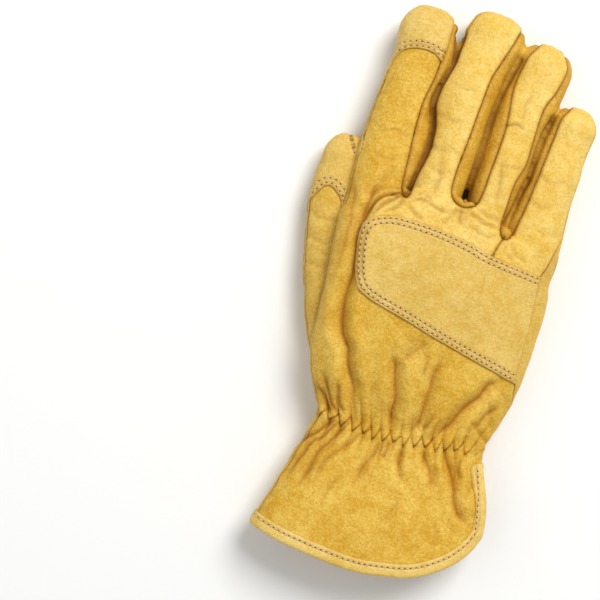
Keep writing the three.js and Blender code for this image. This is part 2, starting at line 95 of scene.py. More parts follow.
RING = even([
    (158, -9, 8.6, 4, 31.5, 17.5), (170, -10.2, 9.2, 3.2, 31.8, 17.2),
    (179, -10.9, 9.8, 2.7, 31.9, 17), (188, -11.5, 11, 3, 30.9, 16.7),
    (198, -11.3, 12.8, 3.4, 29.8, 16.2), (210, -10.5, 13.5, 2.9, 28.6, 15.7),
    (219, -10.3, 15, 2.4, 27.8, 15.1), (225, -10, 16.8, 2, 27, 14.6),
    (234, -8.8, 19.2, 1.9, 26, 14), (243, -6.5, 20.1, 1.9, 25, 13.5),
])
LITTLE = even([
    (145, 10.6, 37, 4, 25, 15), (154, 9.8, 36.8, 4, 27.6, 15), (163, 8.8, 36.4, 3, 28.3, 15),
    (170, 8.5, 36, 2.4, 28.2, 15), (177, 9.8, 35.5, 1.9, 27.9, 15),
    (184, 11.3, 35.4, 2.2, 27, 14.7), (192, 13, 36, 2.6, 26, 14.4),
    (201, 13.3, 36.8, 2.5, 25.1, 14), (211, 14, 37, 2.2, 24.5, 13.7),
    (221, 16.6, 38.2, 1.9, 24, 13.5),
])
THUMB = even([
    (84, -58, -40, 3, 18, 10.5), (93, -63.8, -36, 1.9, 19.6, 10.8),
    (105, -69, -37.4, 1.9, 20.8, 11), (120, -73.6, -42, 1.9, 21, 11.2),
    (136, -77.4, -47.5, 1.9, 20.5, 11), (150, -80.2, -50.8, 1.9, 19.9, 11),
    (158, -81.6, -52.2, 1.9, 19.5, 10.8), (166, -82.2, -53.6, 1.9, 19.1, 10.6),
    (178, -81.4, -56.4, 1.9, 18.4, 10.4),
])
TIPS = {"index": (258.2, -51.5), "middle": (263.9, -21.8), "ring": (256.1, 5.6), "little": (231.7, 27),
        "thumb": (191.4, -71.5)}
FINGERS = {"index": INDEX, "middle": MIDDLE, "ring": RING, "little": LITTLE}
# How full a section is: 2 is an ellipse, and more is nearer to a box.
HAND_FULL = 2.5
FINGER_FULL = 2.25
TIP_FULL = .43  # .5 is a half ellipse, and less is blunter
FRONT_Y, FRONT_X, FRONT_BEND = 176.5, -20, 0.0095
SECTION_STEP = 2.0
TIP_SECTIONS = 10

# Where two fingers are joined: the strip between them lies inside this line.
STRIPS = {
    "index_middle": [
        (-39.6, 253), (-39.9, 243), (-40.2, 236), (-41.1, 224), (-43, 212), (-43, 197), (-42.6, 188),
        (-42.4, 176), (-42, 171.4), (-40.6, 169), (-39, 168.8), (-38, 170.6), (-37.4, 178), (-35.6, 187),
        (-34.6, 194), (-35, 200.5), (-36.2, 206), (-37.7, 213), (-37.6, 218), (-36.8, 224), (-34.3, 234),
        (-33.4, 242), (-33, 250), (-36, 255), (-38.4, 256),
    ],
    "middle_ring": [
        (-8.1, 257.5), (-10, 250), (-12, 244), (-16, 231), (-17.4, 216), (-18.6, 202), (-19.9, 187),
        (-20, 178), (-18, 173.4), (-13.4, 171.6), (-9, 173), (-7, 177.5), (-5.5, 192.5), (-4.2, 210),
        (-4.6, 219), (-5.5, 233), (-4.2, 242), (-2.4, 248.5), (1.4, 255.5), (-2, 262), (-6, 262),
    ],
    "ring_little": [
        (14, 255), (17, 247), (16.3, 240), (14.2, 233), (11, 225), (10.4, 214), (10.2, 208), (9.8, 197),
        (7.2, 187), (6.3, 172), (6.2, 166), (7.6, 163.4), (10.2, 162.9), (12.2, 166), (14.2, 177),
        (16, 190), (17.2, 201), (18.2, 212), (20, 224), (23, 231), (28, 250), (18, 259),
    ],
}
CROTCH_SEAM = [(-40.2, 170), (-43.6, 169), (-49, 165.8), (-53.4, 160.4), (-55, 154), (-53, 146), (-46, 138)]
LITTLE_SEAM = [(8.8, 163.6), (6.6, 157.5), (6, 153), (5.4, 144), (4, 136)]
# The rest of the outlines that the two short seams begin, round the backs of the fingers.
KNUCKLES_LOW = [(-20, 137)]
KNUCKLES_ROUND = [(14, 200), (22, 232), (30, 262), (-30, 275), (-37, 256), (-38.3, 216), (-38.4, 180)]
LITTLE_ROUND = [(60, 128), (60, 250), (31, 250), (22, 231), (14, 200)]

BAND = [
    (-55.2, 148.4), (-53.4, 153.6), (-48.8, 157.2), (-39.5, 159.4), (-21.6, 158.9), (-4.1, 156.3),
    (5.2, 153.9), (33, 151), (40, 150), (40, 137), (40, 123), (38, 98.5), (32.4, 100.7), (-1.5, 108.7),
    (-25.4, 115.2), (-44.7, 120.7), (-50.8, 127), (-54, 138),
]
PALM_PATCH = [
    (-40, 93.6), (-25, 93.4), (-6.7, 94), (12.4, 96.2), (22, 98.5), (29, 101.6), (33.2, 107), (35.4, 116),
    (36, 126), (36.4, 144), (36.4, 160), (35, 171), (32.4, 182), (24, 184), (19, 179), (17, 172),
    (12.4, 167.6), (8.4, 169.4), (6.6, 176), (6.6, 185), (4, 188.4), (-4, 188.8), (-8, 185), (-8.8, 178),
    (-12.4, 173.6), (-15.4, 178), (-16.4, 186), (-21.9, 188.8), (-29, 187), (-31.6, 180), (-34, 174),
    (-39, 172), (-46, 171), (-48.2, 160), (-46.8, 148), (-43.6, 134), (-42, 120), (-42.4, 104),
]
QUILT = [
    [(-43.8, 161.5), (-47.1, 154), (-47.8, 146), (-47.2, 141), (-43.6, 135), (-38.9, 131.5), (-35.6, 126),
     (-34, 119), (-31.1, 110.4), (-24.8, 109), (-15, 109.3), (5, 108.8), (21.6, 110.6), (24.4, 115),
     (26, 125.6), (25, 138), (24.4, 152), (19.2, 155.3), (11.6, 156.4), (4.5, 156), (-1.8, 158.4),
     (-6.9, 160.4), (-12.2, 159.7), (-20.5, 158), (-28.9, 158), (-35, 160), (-40, 162)],
    [(-33.4, 147.6), (-23, 148.2), (-12, 148.5), (-.5, 147.2), (7, 146.3), (13.2, 144.4), (15.2, 142),
     (15.6, 138), (14.4, 128.7), (12.4, 124), (6.4, 122.7), (-4.6, 123), (-16.6, 123.5), (-21.4, 129),
     (-28, 140.6)],
]
INDEX_FRONT = [
    (-72, 272), (-72, 172), (-56.8, 172), (-56.8, 205), (-54, 209.6), (-41.4, 209.6), (-40.4, 212),
    (-40.4, 222.4), (-53, 222.4), (-56.6, 225.4), (-57.2, 228.4), (-56, 231.4), (-52.4, 234.2),
    (-39.6, 234.2), (-39, 250), (-36.6, 264), (-42, 272),
]
INDEX_CAP = [
    (-72, 272), (-72, 182), (-65, 182), (-65.4, 194), (-64.6, 206), (-63.4, 216), (-62.2, 224),
    (-61.2, 229), (-58.4, 233.4), (-54.4, 235.4), (-48.4, 236.2), (-44, 235.4), (-40.8, 233.2),
    (-39.6, 236), (-39.2, 250), (-36.6, 264), (-42, 272),
]
MIDDLE_TIP = [
    (-33, 235.6), (-24, 236.8), (-16, 236.4), (-12.6, 246), (-8.4, 256.4), (-5, 272), (-40, 272),
    (-29.6, 258), (-32.4, 248),
]
THUMB_CAP = [
    (-88, 150), (-81.6, 155.4), (-78.4, 160.6), (-75.6, 164.6), (-73, 165), (-70.6, 163.6), (-67.4, 160.4),
    (-64, 154), (-50, 146), (-50, 200), (-88, 200),
]
THUMB_FRONT = [(-88, 118), (-70.4, 119.6), (-57.3, 127.6), (-45.8, 132), (-40, 134), (-40, 200), (-88, 200)]
THUMB_WINDOW = [
    (-84, 145), (-75.7, 144), (-67, 148), (-63.4, 152), (-63.5, 156), (-67.2, 158.4), (-73.9, 155.6),
    (-79, 152), (-84, 149),
]
HEM_START = (-70, 6.4)
BACK_HEM = [
    (46, VENT_TOP), (45, 46), (41, 35), (38, 28), (33.9, 20.6), (25.9, 12.2), (12, 4), (-4, .4), (-20, -.8),
    (-48, 2), (-60, 4.2), HEM_START,
]
PALM_HEM = [
    (46, VENT_TOP), (45, 46), (40, 34), (35, 26.6), (29.3, 20), (23.8, 13), (13, 4.4), (0, 0), (-14, -1.8),
    (-30, -1.2), (-48, 1.6), (-60, 4.2), HEM_START,
]
VENT_LEVEL = 14.0
VENT = [  # y and z of the slit's edge in the side wall, down the back side and up the palm side
    (VENT_TOP, 14.6), (61.1, 15.6), (60, 16.4), (57.5, 17), (52, 17.4), (45, 17.8), (38, 18.3), (28, 19),
    (15, 20), (-20, 22), (-20, 0), (15, 3), (28, 5), (38, 7.4), (48, 9.6), (55, 11.2), (58, 12), (60, 12.6),
    (61.1, 13.5),
]
# Where the side seam lies, from the outline inwards, at each y up the little-finger side.
SIDE_INSET = ([70, 92, 99, 106, 148, 160, 172], [.08, .3, 2.4, 5, 6.2, 3.4, .5])
EDGE_INSET = .5  # and on every other side
SLITS = [  # where two fingers touch
    [(-39.2, 169.4), (-38.3, 176.3), (-36.6, 185.6), (-35.5, 194.7), (-35.7, 200.5), (-36.5, 206.2),
     (-38.2, 211.5), (-39, 217.1), (-37.5, 224.8), (-35, 233.7), (-34.9, 241), (-36.4, 249)],
    [(-12.6, 175), (-12.4, 183), (-11.6, 194), (-11.2, 206), (-10.8, 216), (-9.6, 226), (-7.6, 236),
      (-5.4, 245)],
    [(7.6, 169.7), (9.7, 177.6), (11.6, 186.2), (13.3, 193.3), (13.5, 208), (14.7, 216.4), (16.6, 223.4)],
]

# Folds and creases of the worn-in leather: their course, depth and half-width. Narrow ones are sharp creases.
BACK_FOLDS = [
    ([(-49, 176), (-53, 171), (-54.6, 166), (-56, 158), (-56, 151.8), (-55.6, 144), (-54.3, 135.4),
      (-53.5, 126.8), (-53.9, 117.9), (-52.8, 108), (-50.4, 101), (-46.5, 95.3), (-44.7, 89), (-40.6, 82),
      (-37.4, 75.7), (-35.1, 68.7), (-32.4, 65.4)], 2.5, 2.5),
    ([(-64, 170), (-61, 158), (-60.5, 146), (-60, 132)], 1.0, 3.4),
    ([(-54.5, 76.3), (-50, 71), (-47.2, 67.4), (-44.1, 63.6)], 1.1, 1.2),
    ([(-52.8, 81.2), (-47.5, 72.4), (-44.5, 68.2), (-41, 64.6)], 1.1, 1.2),
    ([(-45.9, 80.1), (-42.9, 71.5), (-40.9, 68.5), (-38.4, 66.2)], 1.0, 1.2),
    ([(-25.7, 98.9), (-22.4, 91.5), (-19.6, 84), (-18.2, 77.2), (-18, 71.4), (-17.4, 65)], 2.0, 2.4),
    ([(-10.1, 103.3), (-10.1, 98.2), (-9.7, 91.7)], .8, 2.6),
    ([(-2.8, 103.2), (-4.3, 94), (-4.4, 86.3), (-4.9, 79.5), (-5.4, 72.2), (-8.1, 65.8)], 1.5, 2.0),
    ([(26, 100), (21.2, 95.8), (16.9, 88), (11.7, 80.6), (8.5, 73.8), (5.4, 69.3), (2.4, 66)], 1.9, 2.4),
    ([(28.3, 89), (23.1, 81.7), (20.4, 75.8)], .7, 1.4), ([(.8, 77.5), (-.7, 72.7), (-2.6, 69.2)], .9, 1.2),
    ([(-34.6, 63), (-38.8, 57.3), (-43.8, 49.3), (-47.6, 39.4), (-49.9, 30)], 1.5, 1.7),
    ([(-38, 63), (-42.1, 58.6), (-47.3, 51.2), (-52.8, 42.3), (-56, 32)], 1.3, 1.5),
    ([(-41.2, 63), (-46.3, 58.1), (-51.1, 51.6), (-55, 46.4)], 1.1, 1.3),
    ([(-28.6, 60.2), (-32.4, 55.5), (-37.1, 49), (-41.5, 41.2), (-44, 34.6)], .6, 1.0),
    ([(-19.6, 59.2), (-20.2, 53.9), (-22, 49.7), (-24.2, 44.7), (-26.4, 38)], 1.2, 1.7),
    ([(-9.7, 59.4), (-9.1, 53.4), (-7.3, 49.5), (-5.4, 44)], 1.1, 1.6), ([(-15.1, 60.1), (-16, 54.4),
      (-16.5, 51.3)], .8, 1.2),
    ([(.1, 60.8), (1.9, 55.8), (6.2, 51.2), (8.9, 45)], 1.1, 1.6),
    ([(10.2, 62.6), (14, 57.1), (16.9, 52.1), (20.2, 45.7), (22.6, 39.8), (26.7, 35.8),
      (31.5, 32.1)], 2.1, 2.1),
    ([(18.7, 61.4), (18.9, 55.5), (20.9, 51)], 1.0, 1.5), ([(25, 45), (27, 54), (24, 62)], .8, 2.0),
    ([(-20, 98), (-16, 104), (-12, 108)], .8, 3.4), ([(14, 30), (17, 24), (16, 19)], .4, 1.2),
    ([(-38, 26), (-36, 33), (-33, 40)], .3, 1.4), ([(-10, 24), (-6, 31), (-5, 38)], .3, 1.4),
    ([(-13, 171), (-12, 163)], 1.0, 3.0),
    ([(-29, 191), (-27, 183), (-27, 174)], .5, 2.2), ([(-2, 196), (0, 186), (1, 177)], .5, 2.0),
]
CREASES = [
    ([(-40.9, 169.4), (-44.9, 165.9), (-48.9, 161.8), (-51.8, 156.6)], .75, .8),
    ([(-41.1, 169.2), (-47.5, 167.3), (-51.7, 164), (-53.9, 158.9), (-54.8, 154.3)], .7, .8),
    ([(-40.3, 169), (-41.6, 164.6), (-45.5, 160.4)], .6, .9),
    ([(-42, 170.4), (-47, 171.4), (-51.7, 169.8), (-56, 165)], .5, .8),
    ([(-37.3, 167.3), (-33.4, 169.2), (-29, 169), (-22.8, 167.8), (-18.3, 167.7)], .5, .8),
    ([(-37.6, 165.8), (-33.7, 162.5), (-28.9, 161)], .5, .8), ([(-36, 171), (-32, 172.4),
      (-27, 171)], .35, .8),
    ([(-10.1, 171.4), (-7.1, 169), (-3.6, 167.5), (.8, 167.3), (4.8, 166.2)], .5, .8),
    ([(-7.2, 172), (-2.4, 170.8), (2.8, 170.8), (5.4, 169.3)], .45, .8),
    ([(-9.8, 163.5), (-4.5, 162.8), (1, 161.5), (4.6, 161.8)], .4, .8),
    ([(-14, 170), (-18, 166), (-20, 161)], .35, .8), ([(12, 161.6), (16, 157.4), (22, 154)], .35, .9),
    ([(10, 160.8), (11, 157), (15, 154.6)], .35, .8),
    ([(-5.2, 213.4), (0, 214.6), (4.4, 213)], .6, .7), ([(3.4, 231), (2, 222), (2.6, 216)], .3, .7),
    ([(-64, 199), (-57, 196), (-50, 197), (-45, 195)], .3, 1.0), ([(-60, 186), (-54, 183),
      (-48, 185)], .3, 1.0),
    ([(-36, 196), (-31, 193.6), (-25, 195), (-19, 193)], .25, 1.0), ([(-37, 210), (-30, 208),
      (-22, 209)], .25, 1.1),
    ([(-34, 186), (-27, 184), (-20.4, 185.6)], .25, 1.0), ([(-4.6, 196), (2, 194), (9, 195.4)], .25, 1.0),
    ([(15.6, 196), (22, 194), (29, 195.6), (34, 194)], .25, 1.0), ([(14.4, 184), (21, 181.6),
      (28, 183)], .25, 1.0),
    ([(21, 172), (27, 170), (33, 171)], .25, 1.2), ([(-35, 226), (-28, 224), (-20, 225)], .2, 1.0),
    ([(29, 70), (24, 74), (17, 80)], .5, 1.0), ([(30, 76), (26, 84), (22, 92)], .35, 1.2),
    ([(34, 88), (29, 94), (22, 98)], .3, 1.2),
    ([(5.6, 156), (5, 148), (4.4, 140), (4.2, 128)], .22, 1.3),
]
THUMB_FOLDS = [
    ([(-64.3, 132), (-62.2, 120), (-61.1, 108), (-60.5, 91)], .5, .8),
    ([(-66, 132), (-64.2, 120), (-63.2, 108), (-62.6, 92)], .4, .7),
    ([(-74, 120), (-72, 108), (-66, 96)], .8, 2.6), ([(-78, 142), (-70, 139), (-63, 142)], .3, 1.3),
    ([(-77, 131), (-69, 128), (-62, 131)], .3, 1.3), ([(-79, 152), (-72, 150), (-64, 152)], .25, 1.2),
    ([(-73, 192), (-70.5, 189), (-68.4, 186), (-66.8, 182.5)], .6, .6),
]


def follow(rows, y):
    """The columns of a section table at any y, on a smooth curve."""
    rows = np.asarray(rows, float)
    knots, values = rows[:, 0], rows[:, 1:]
    slopes = np.gradient(values, knots, axis=0)
    y = np.clip(y, knots[0], knots[-1])
    i = np.clip(np.searchsorted(knots, y) - 1, 0, len(knots) - 2)
    span = (knots[i + 1] - knots[i])[:, None]
    t = (y - knots[i])[:, None] / span
    rise = span * ((t ** 3 - 2 * t ** 2 + t) * slopes[i] + (t ** 3 - t ** 2) * slopes[i + 1])
    return (2 * t ** 3 - 3 * t ** 2 + 1) * values[i] + (3 * t ** 2 - 2 * t ** 3) * values[i + 1] + rise


def outline_at(rows, tip, y, inset=0.0):
    """The middle, half-width and size of a tube's plan at any y, with its rounded end."""
    at = follow(rows, y)
    middle, half, size = (at[:, 0] + at[:, 1]) / 2, (at[:, 1] - at[:, 0]) / 2 - inset, np.ones(len(at))
    if tip:
        last = rows[-1][0]
        sine = np.clip((y - last) / (tip[0] - inset - last), 0, 1)
        size = (1 - sine ** 2) ** TIP_FULL
        middle = middle * size + tip[1] * (1 - size)
    return middle, half * size, size, at


def front_arch(x):
    """Where the hand's front end lies, under the roots of the fingers."""
    return FRONT_Y - FRONT_BEND * (x - FRONT_X) ** 2


def add_tube(form, rows, full, tip=None, around=60, front=False):
    """A closed tube through its sections: a grid rolled up, its open root filled."""
    first, last = rows[0][0], (tip or rows[-1])[0]
    straight = rows[-1][0]
    stations = np.arange(first, straight, SECTION_STEP).tolist() + [straight]
    if tip:
        turns = [k * math.pi / (2 * TIP_SECTIONS) for k in range(1, TIP_SECTIONS + 1)]
        stations += [straight + (last - straight) * math.sin(turn) for turn in turns]
    stations = np.array(stations)
    middle, half, size, at = outline_at(rows, tip, stations)
    made = bmesh.ops.create_grid(form, x_segments=around, y_segments=len(stations) - 1, size=1)["verts"]
    for vert in made:
        row = round((vert.co.y + 1) / 2 * (len(stations) - 1))
        turn = (vert.co.x + 1) * math.pi
        cosine, sine = -math.cos(turn), math.sin(turn)
        across = math.copysign(abs(cosine) ** (2 / full), cosine)
        lift = math.copysign(abs(sine) ** (2 / full), sine)
        _, _, under, over, left_edge, right_edge = at[row]
        edge, centre = (left_edge + right_edge) / 2, left_edge + (right_edge - left_edge) * (across + 1) / 2
        x = middle[row] + half[row] * across
        y = min(stations[row], front_arch(x)) if front else stations[row]
        z = centre + size[row] * lift * ((over - edge) if lift > 0 else (edge - under))
        vert.co = (x, y, max(z, BASE))
    bmesh.ops.remove_doubles(form, verts=made, dist=1e-3)
    rims = [edge for edge in form.edges if edge.is_boundary]
    bmesh.ops.holes_fill(form, edges=rims)


def remeshed(form, rounds):
    """The union of the tubes in a form as one even skin of quads."""
    bmesh.ops.recalc_face_normals(form, faces=form.faces)
    mesh = bpy.data.meshes.new("form")
    form.to_mesh(mesh)
    holder = bpy.data.objects.new("form", mesh)
    bpy.context.scene.collection.objects.link(holder)
    voxels = holder.modifiers.new("voxels", "REMESH")
    voxels.mode, voxels.voxel_size = "VOXEL", VOXEL
    skin = bmesh.new()
    skin.from_object(holder, bpy.context.evaluated_depsgraph_get())
    bpy.data.objects.remove(holder)
    for _ in range(rounds):
        bmesh.ops.smooth_vert(
            skin, verts=skin.verts, factor=.5, use_axis_x=True, use_axis_y=True, use_axis_z=True)
    return skin


def places(form):
    return np.array([vert.co[:] for vert in form.verts]).reshape(-1, 3)


def rounded(line, step, closed=False):
    """A smooth line through points, with a point every step."""
    line = [Vector(point) for point in line]
    if closed:
        line = [line[-1]] + line + line[:2]
    else:
        line = [2 * line[0] - line[1]] + line + [2 * line[-1] - line[-2]]
    out = []
    for a, b, c, d in zip(line, line[1:], line[2:], line[3:]):
        count = max(1, round((c - b).length / step))
        for k in range(count):
            t = k / count
            out.append(.5 * (2 * b + (c - a) * t + (2 * a - 5 * b + 4 * c - d) * t * t
                             + (3 * b - a - 3 * c + d) * t ** 3))
    if not closed:
        out.append(line[-2])
    return np.array([point[:] for point in out])


def measure(co, line, closed=False, reach=12.0):
    """How far each place is from a line in plan, how far along the line, and which places lie inside it."""
    line = np.asarray(line, float)
    ends = np.roll(line, -1, 0) if closed else line[1:]
    starts = line if closed else line[:-1]
    away, along, inside = np.full(len(co), FAR), np.zeros(len(co)), np.zeros(len(co), bool)
    low, high = line.min(0) - reach, line.max(0) + reach
    near = np.flatnonzero(np.all((co[:, :2] > low) & (co[:, :2] < high), axis=1))
    xy, total = co[near, :2], 0.0
    best, place, odd = away[near], along[near], inside[near]
    for start, end in zip(starts, ends):
        edge = end - start
        length = math.hypot(*edge)
        if length < 1e-9:
            continue
        t = np.clip(((xy - start) @ edge) / length ** 2, 0, 1)
        gap = np.hypot(*(xy - start - t[:, None] * edge).T)
        closer = gap < best
        best[closer], place[closer] = gap[closer], total + t[closer] * length
        if closed and start[1] != end[1]:
            span = (start[1] > xy[:, 1]) != (end[1] > xy[:, 1])
            odd ^= span & (xy[:, 0] < start[0] + (xy[:, 1] - start[1]) * edge[0] / edge[1])
        total += length
    away[near], along[near], inside[near] = best, place, odd
    return away, along, inside


def within(line):
    """A field that is positive inside a closed line."""
    def field(co):
        away, _, inside = measure(co, line, True)
        return np.where(inside, away, -away)
    return field


ROOT_LENGTH, ROOT_DROP = 10, 3  # a finger's side seam rises to its place over this length, from this far down


def side_field(forms, left, right):
    """Positive on the back, inside the side seams of the tubes: the distance from the seam over the leather.
    The seam's inset from the outline may change up the little-finger side."""
    def field(co):
        best = np.full(len(co), OUTSIDE)
        for rows, tip in forms:
            full = HAND_FULL if rows is HAND else FINGER_FULL
            middle, half, size, at = outline_at(rows, tip, co[:, 1])
            offset, half = co[:, 0] - middle, np.maximum(half, .1)
            level = at[:, 4] + (at[:, 5] - at[:, 4]) * (np.clip(offset / half, -1, 1) + 1) / 2
            on_right = np.interp(co[:, 1], *right) if rows in (HAND, LITTLE) else left
            inset = np.where(offset < 0, left, on_right)
            reach = np.clip(1 - inset / half, 0, 1)
            seam = level + size * (at[:, 3] - level) * (1 - reach ** full) ** (1 / full)
            inwards, upwards = half - inset - np.abs(offset), co[:, 2] - seam
            away = np.maximum(np.hypot(inwards, upwards), .01)
            value = (inwards * np.abs(inwards) + upwards * np.abs(upwards)) / away
            if len(forms) > 1 and rows is not HAND:
                value = value - ROOT_DROP * (1 - np.clip((co[:, 1] - rows[0][0]) / ROOT_LENGTH, 0, 1))
            value = np.maximum(value, LOWEST)
            value = np.where((co[:, 1] < rows[0][0]) | (co[:, 2] <= level), OUTSIDE, value)
            best = np.maximum(best, value)
        return best
    return field


CUT_REACH = 4.0  # a field's steps past this are no crossing
SNAP = .25  # a corner moves to the line where it is nearer to it than this share of its edge


def facing(level, line, upward):
    """A field that is positive inside a closed line, on the back alone or on the palm side alone."""
    inside = within(line)

    def limited(co):
        return np.where((level(co) > OUTSIDE) == upward, inside(co), OUTSIDE)
    return limited


def cut(form, field):
    """Runs a line of edges along a field's zero, so that a seam or a leather's edge is clean."""
    value = field(places(form))
    form.verts.index_update()
    verts = list(form.verts)
    ends = np.array([(edge.verts[0].index, edge.verts[1].index) for edge in form.edges])
    a, b = value[ends[:, 0]], value[ends[:, 1]]
    crossed = np.flatnonzero((a * b < 0) & (np.abs(a) < CUT_REACH) & (np.abs(b) < CUT_REACH))
    edges = list(form.edges)
    on_line, moved = {}, {}  # in a fixed order, so that each run gives the same mesh
    for i in crossed:
        share = a[i] / (a[i] - b[i])
        for end, t in ((0, share), (1, 1 - share)):
            if t < SNAP:
                here, there = verts[ends[i][end]], verts[ends[i][1 - end]]
                if here not in moved or t < moved[here][0]:
                    moved[here] = (t, here.co.lerp(there.co, t))
    for vert, (_, place) in moved.items():
        vert.co = place
        on_line[vert] = True
    for i in crossed:
        start, end = verts[ends[i][0]], verts[ends[i][1]]
        if start in moved or end in moved:
            continue
        share = a[i] / (a[i] - b[i])
        _, new = bmesh.utils.edge_split(edges[i], start, float(share))
        on_line[new] = True
    bmesh.ops.connect_verts(form, verts=list(on_line), check_degenerate=True)


def soft_step(value, low, high):
    t = np.clip((value - low) / (high - low), 0, 1)
    return t * t * (3 - 2 * t)


def bell(value, width):
    return np.exp(-(value / width) ** 2)


def waves(co, size, seed):
    """Smooth noise with a wavelength of about size millimetres, one value for each place."""
    scaled = (co / size + seed * 17.3).tolist()
    return np.array([noise.noise(place) for place in scaled])


TOOTH = 2.3  # half the height of the toothed crease
STEEP = .3  # the share of a tooth that its steep side takes
WRIST = 62.5
PLEAT_DEPTH = 1.5
PLEAT_UP, PLEAT_DOWN, PLEAT_CHANGE = 7.0, 8.0, 3.5  # how far pleats reach, and how unevenly
BACK_PITCH, PALM_PITCH = 5.0, 7.6  # from one pleat to the next
BACK_LINE = ([-50, -44, -37.5, -30.2, -21.3, -11.6, -2.6, 7.4, 17.3, 28],
             [64.5, 63.4, 63, 62, 61.4, 62, 63.2, 64.3, 66, 67])
PALM_LINE = ([-50, -30, -10, 10, 30], [62.5, 61, 60.4, 62, 65])


def gathers(co, pitch, line, seed):
    """The pleats of the elastic, and the painted shade in their creases. Upper and lower pleats meet in a
    toothed crease, and each has its own length."""
    middle, half, _, _ = outline_at(HAND, None, co[:, 1])
    wrist_middle, wrist_half, _, _ = outline_at(HAND, None, np.array([WRIST]))
    flat = (co[:, 0] - middle) / half * wrist_half[0]
    wander = waves(np.stack([flat, np.zeros(len(co)), np.zeros(len(co))], 1), 13, seed)
    phase = (flat + 1.6 * wander) / pitch
    tooth = phase - np.floor(phase)
    base = np.interp(flat + wrist_middle[0], *line)
    uneven = 1 + .3 * np.sin(2.1 * np.floor(phase) + seed)
    teeth = np.where(tooth < STEEP, 1 - tooth / (STEEP / 2), (tooth - STEEP) / ((1 - STEEP) / 2) - 1)
    above = co[:, 1] - (base + TOOTH * uneven * teeth)
    reach = np.where(above > 0, PLEAT_UP, PLEAT_DOWN) + PLEAT_CHANGE * np.sin(2.7 * np.floor(phase) + seed)
    size = np.exp(-np.abs(above) / reach)
    side = soft_step(above, -.5, .5)
    lower, upper = np.abs(np.sin(math.pi * (phase - STEEP))), np.abs(np.sin(math.pi * phase))
    ridge = upper * side + lower * (1 - side)
    cleft = bell(above, .55)
    valley = np.clip(1 - ridge / .45, 0, 1) ** 1.5 * size
    # The second value is painted shade, deepest in the toothed crease and in the valleys between pleats.
    return PLEAT_DEPTH * size * (1.6 * ridge - .9) - cleft, cleft + .75 * valley


SHARP = 1.4  # a fold with a smaller half-width is a sharp crease


def groove(away, half):
    """A fold's section, 1 at its bottom."""
    return np.exp(-(away / half) ** 1.4)


def relief(co, normal, seams, tables, gathered):
    """How far the leather lies off its smooth form along its normal, and how much painted shade its seams,
    slits, folds and pleats get, with random darker patches on the back.
    """
    back = soft_step(normal[:, 2], -.25, .2)
    height, shade_and_mottle = np.zeros(len(co)), np.zeros(len(co))
    for away, depth, width in seams:
        height += -depth * bell(away, width) + .25 * depth * bell(away - 2.6 * width, 1.5 * width)
        # Painted shade in each seam's groove, and in the slits where two fingers touch.
        shade_and_mottle += .62 * bell(away, .65 * width) + .2 * bell(away, 2.2 * width)
    wander = co + 1.1 * np.stack([waves(co, 8, 8), waves(co, 8, 9), np.zeros(len(co))], 1)
    for line, depth, half in [fold for table in tables for fold in table]:
        course = rounded(line, 2.0)
        away, along, _ = measure(wander, course)
        length = np.hypot(*np.diff(course, axis=0).T).sum()
        fade = soft_step(along, 0, .2 * length) * soft_step(length - along, 0, .2 * length)
        fade = (.3 + .7 * fade) * back
        height -= depth * fade * (1.4 * groove(away, half) - .45 * bell(away - 2.3 * half, 1.1 * half))
        # Painted shade along each fold and crease.
        shade_and_mottle += fade * (min(.6, .6 * depth / half) if half < SHARP else .3) * groove(away, half)
        shade_and_mottle += fade * min(.75, .4 * depth) * bell(away, .75)
    if gathered:
        near = np.flatnonzero((co[:, 1] > 22) & (co[:, 1] < 112))
        part, up = co[near], back[near]
        back_height, back_crease = gathers(part, BACK_PITCH, BACK_LINE, 1)
        palm_height, palm_crease = gathers(part, PALM_PITCH, PALM_LINE, 2)
        height[near] += back_height * up + palm_height * (1 - up)
        shade_and_mottle[near] += back_crease * up + palm_crease * (1 - up)
    height += .7 * waves(co, 26, 3) + .35 * waves(co, 11, 4) + .16 * waves(co * np.array([1, .45, 1]), 4.2, 5)
    height += .09 * waves(co, 2.6, 6)
    # Random darker patches of tone on the back, carried in the same channel as the painted shade.
    shade_and_mottle += .16 * np.clip(-waves(co, 17, 7) + .1, 0, 1) * back
    return height, np.clip(shade_and_mottle, 0, 1.2)


def dressed(form, seams_of, tables, gathered=False, freedom=None):
    """Keeps each place of the smooth form, moves the leather to its relief, and notes the painted shade of
    its creases. The relief is flatter where the leather has less freedom."""
    form.normal_update()
    co = places(form)
    normal = np.array([vert.normal[:] for vert in form.verts])
    height, shade_and_mottle = relief(co, normal, seams_of(co), tables, gathered)
    if freedom:
        free = freedom(co)
        height, shade_and_mottle = height * free, shade_and_mottle * free
    rest = form.verts.layers.float_vector.new("rest")
    dark = form.verts.layers.float.new("shade_and_mottle")
    moved = co + normal * height[:, None]
    moved[:, 2] = np.maximum(moved[:, 2], BASE - .25)
    for vert, place, there, value in zip(form.verts, co, moved, shade_and_mottle):
        vert[rest], vert[dark], vert.co = Vector(place), value, there
    form.normal_update()
    return form


def centres(form):
    return np.array([face.calc_center_median()[:] for face in form.faces]).reshape(-1, 3)


def taken(form, mask, finer=0):
    """A copy of a form with only the faces that the mask keeps, cut finer if asked."""
    piece = form.copy()
    bmesh.ops.delete(piece, geom=[face for face, keep in zip(piece.faces, mask) if not keep], context="FACES")
    for _ in range(finer):
        bmesh.ops.subdivide_edges(piece, edges=piece.edges[:], cuts=1, use_grid_fill=True)
    piece.verts.index_update()
    piece.normal_update()
    return piece


def rest_of(form):
    layer = form.verts.layers.float_vector["rest"]
    return np.array([vert[layer][:] for vert in form.verts])


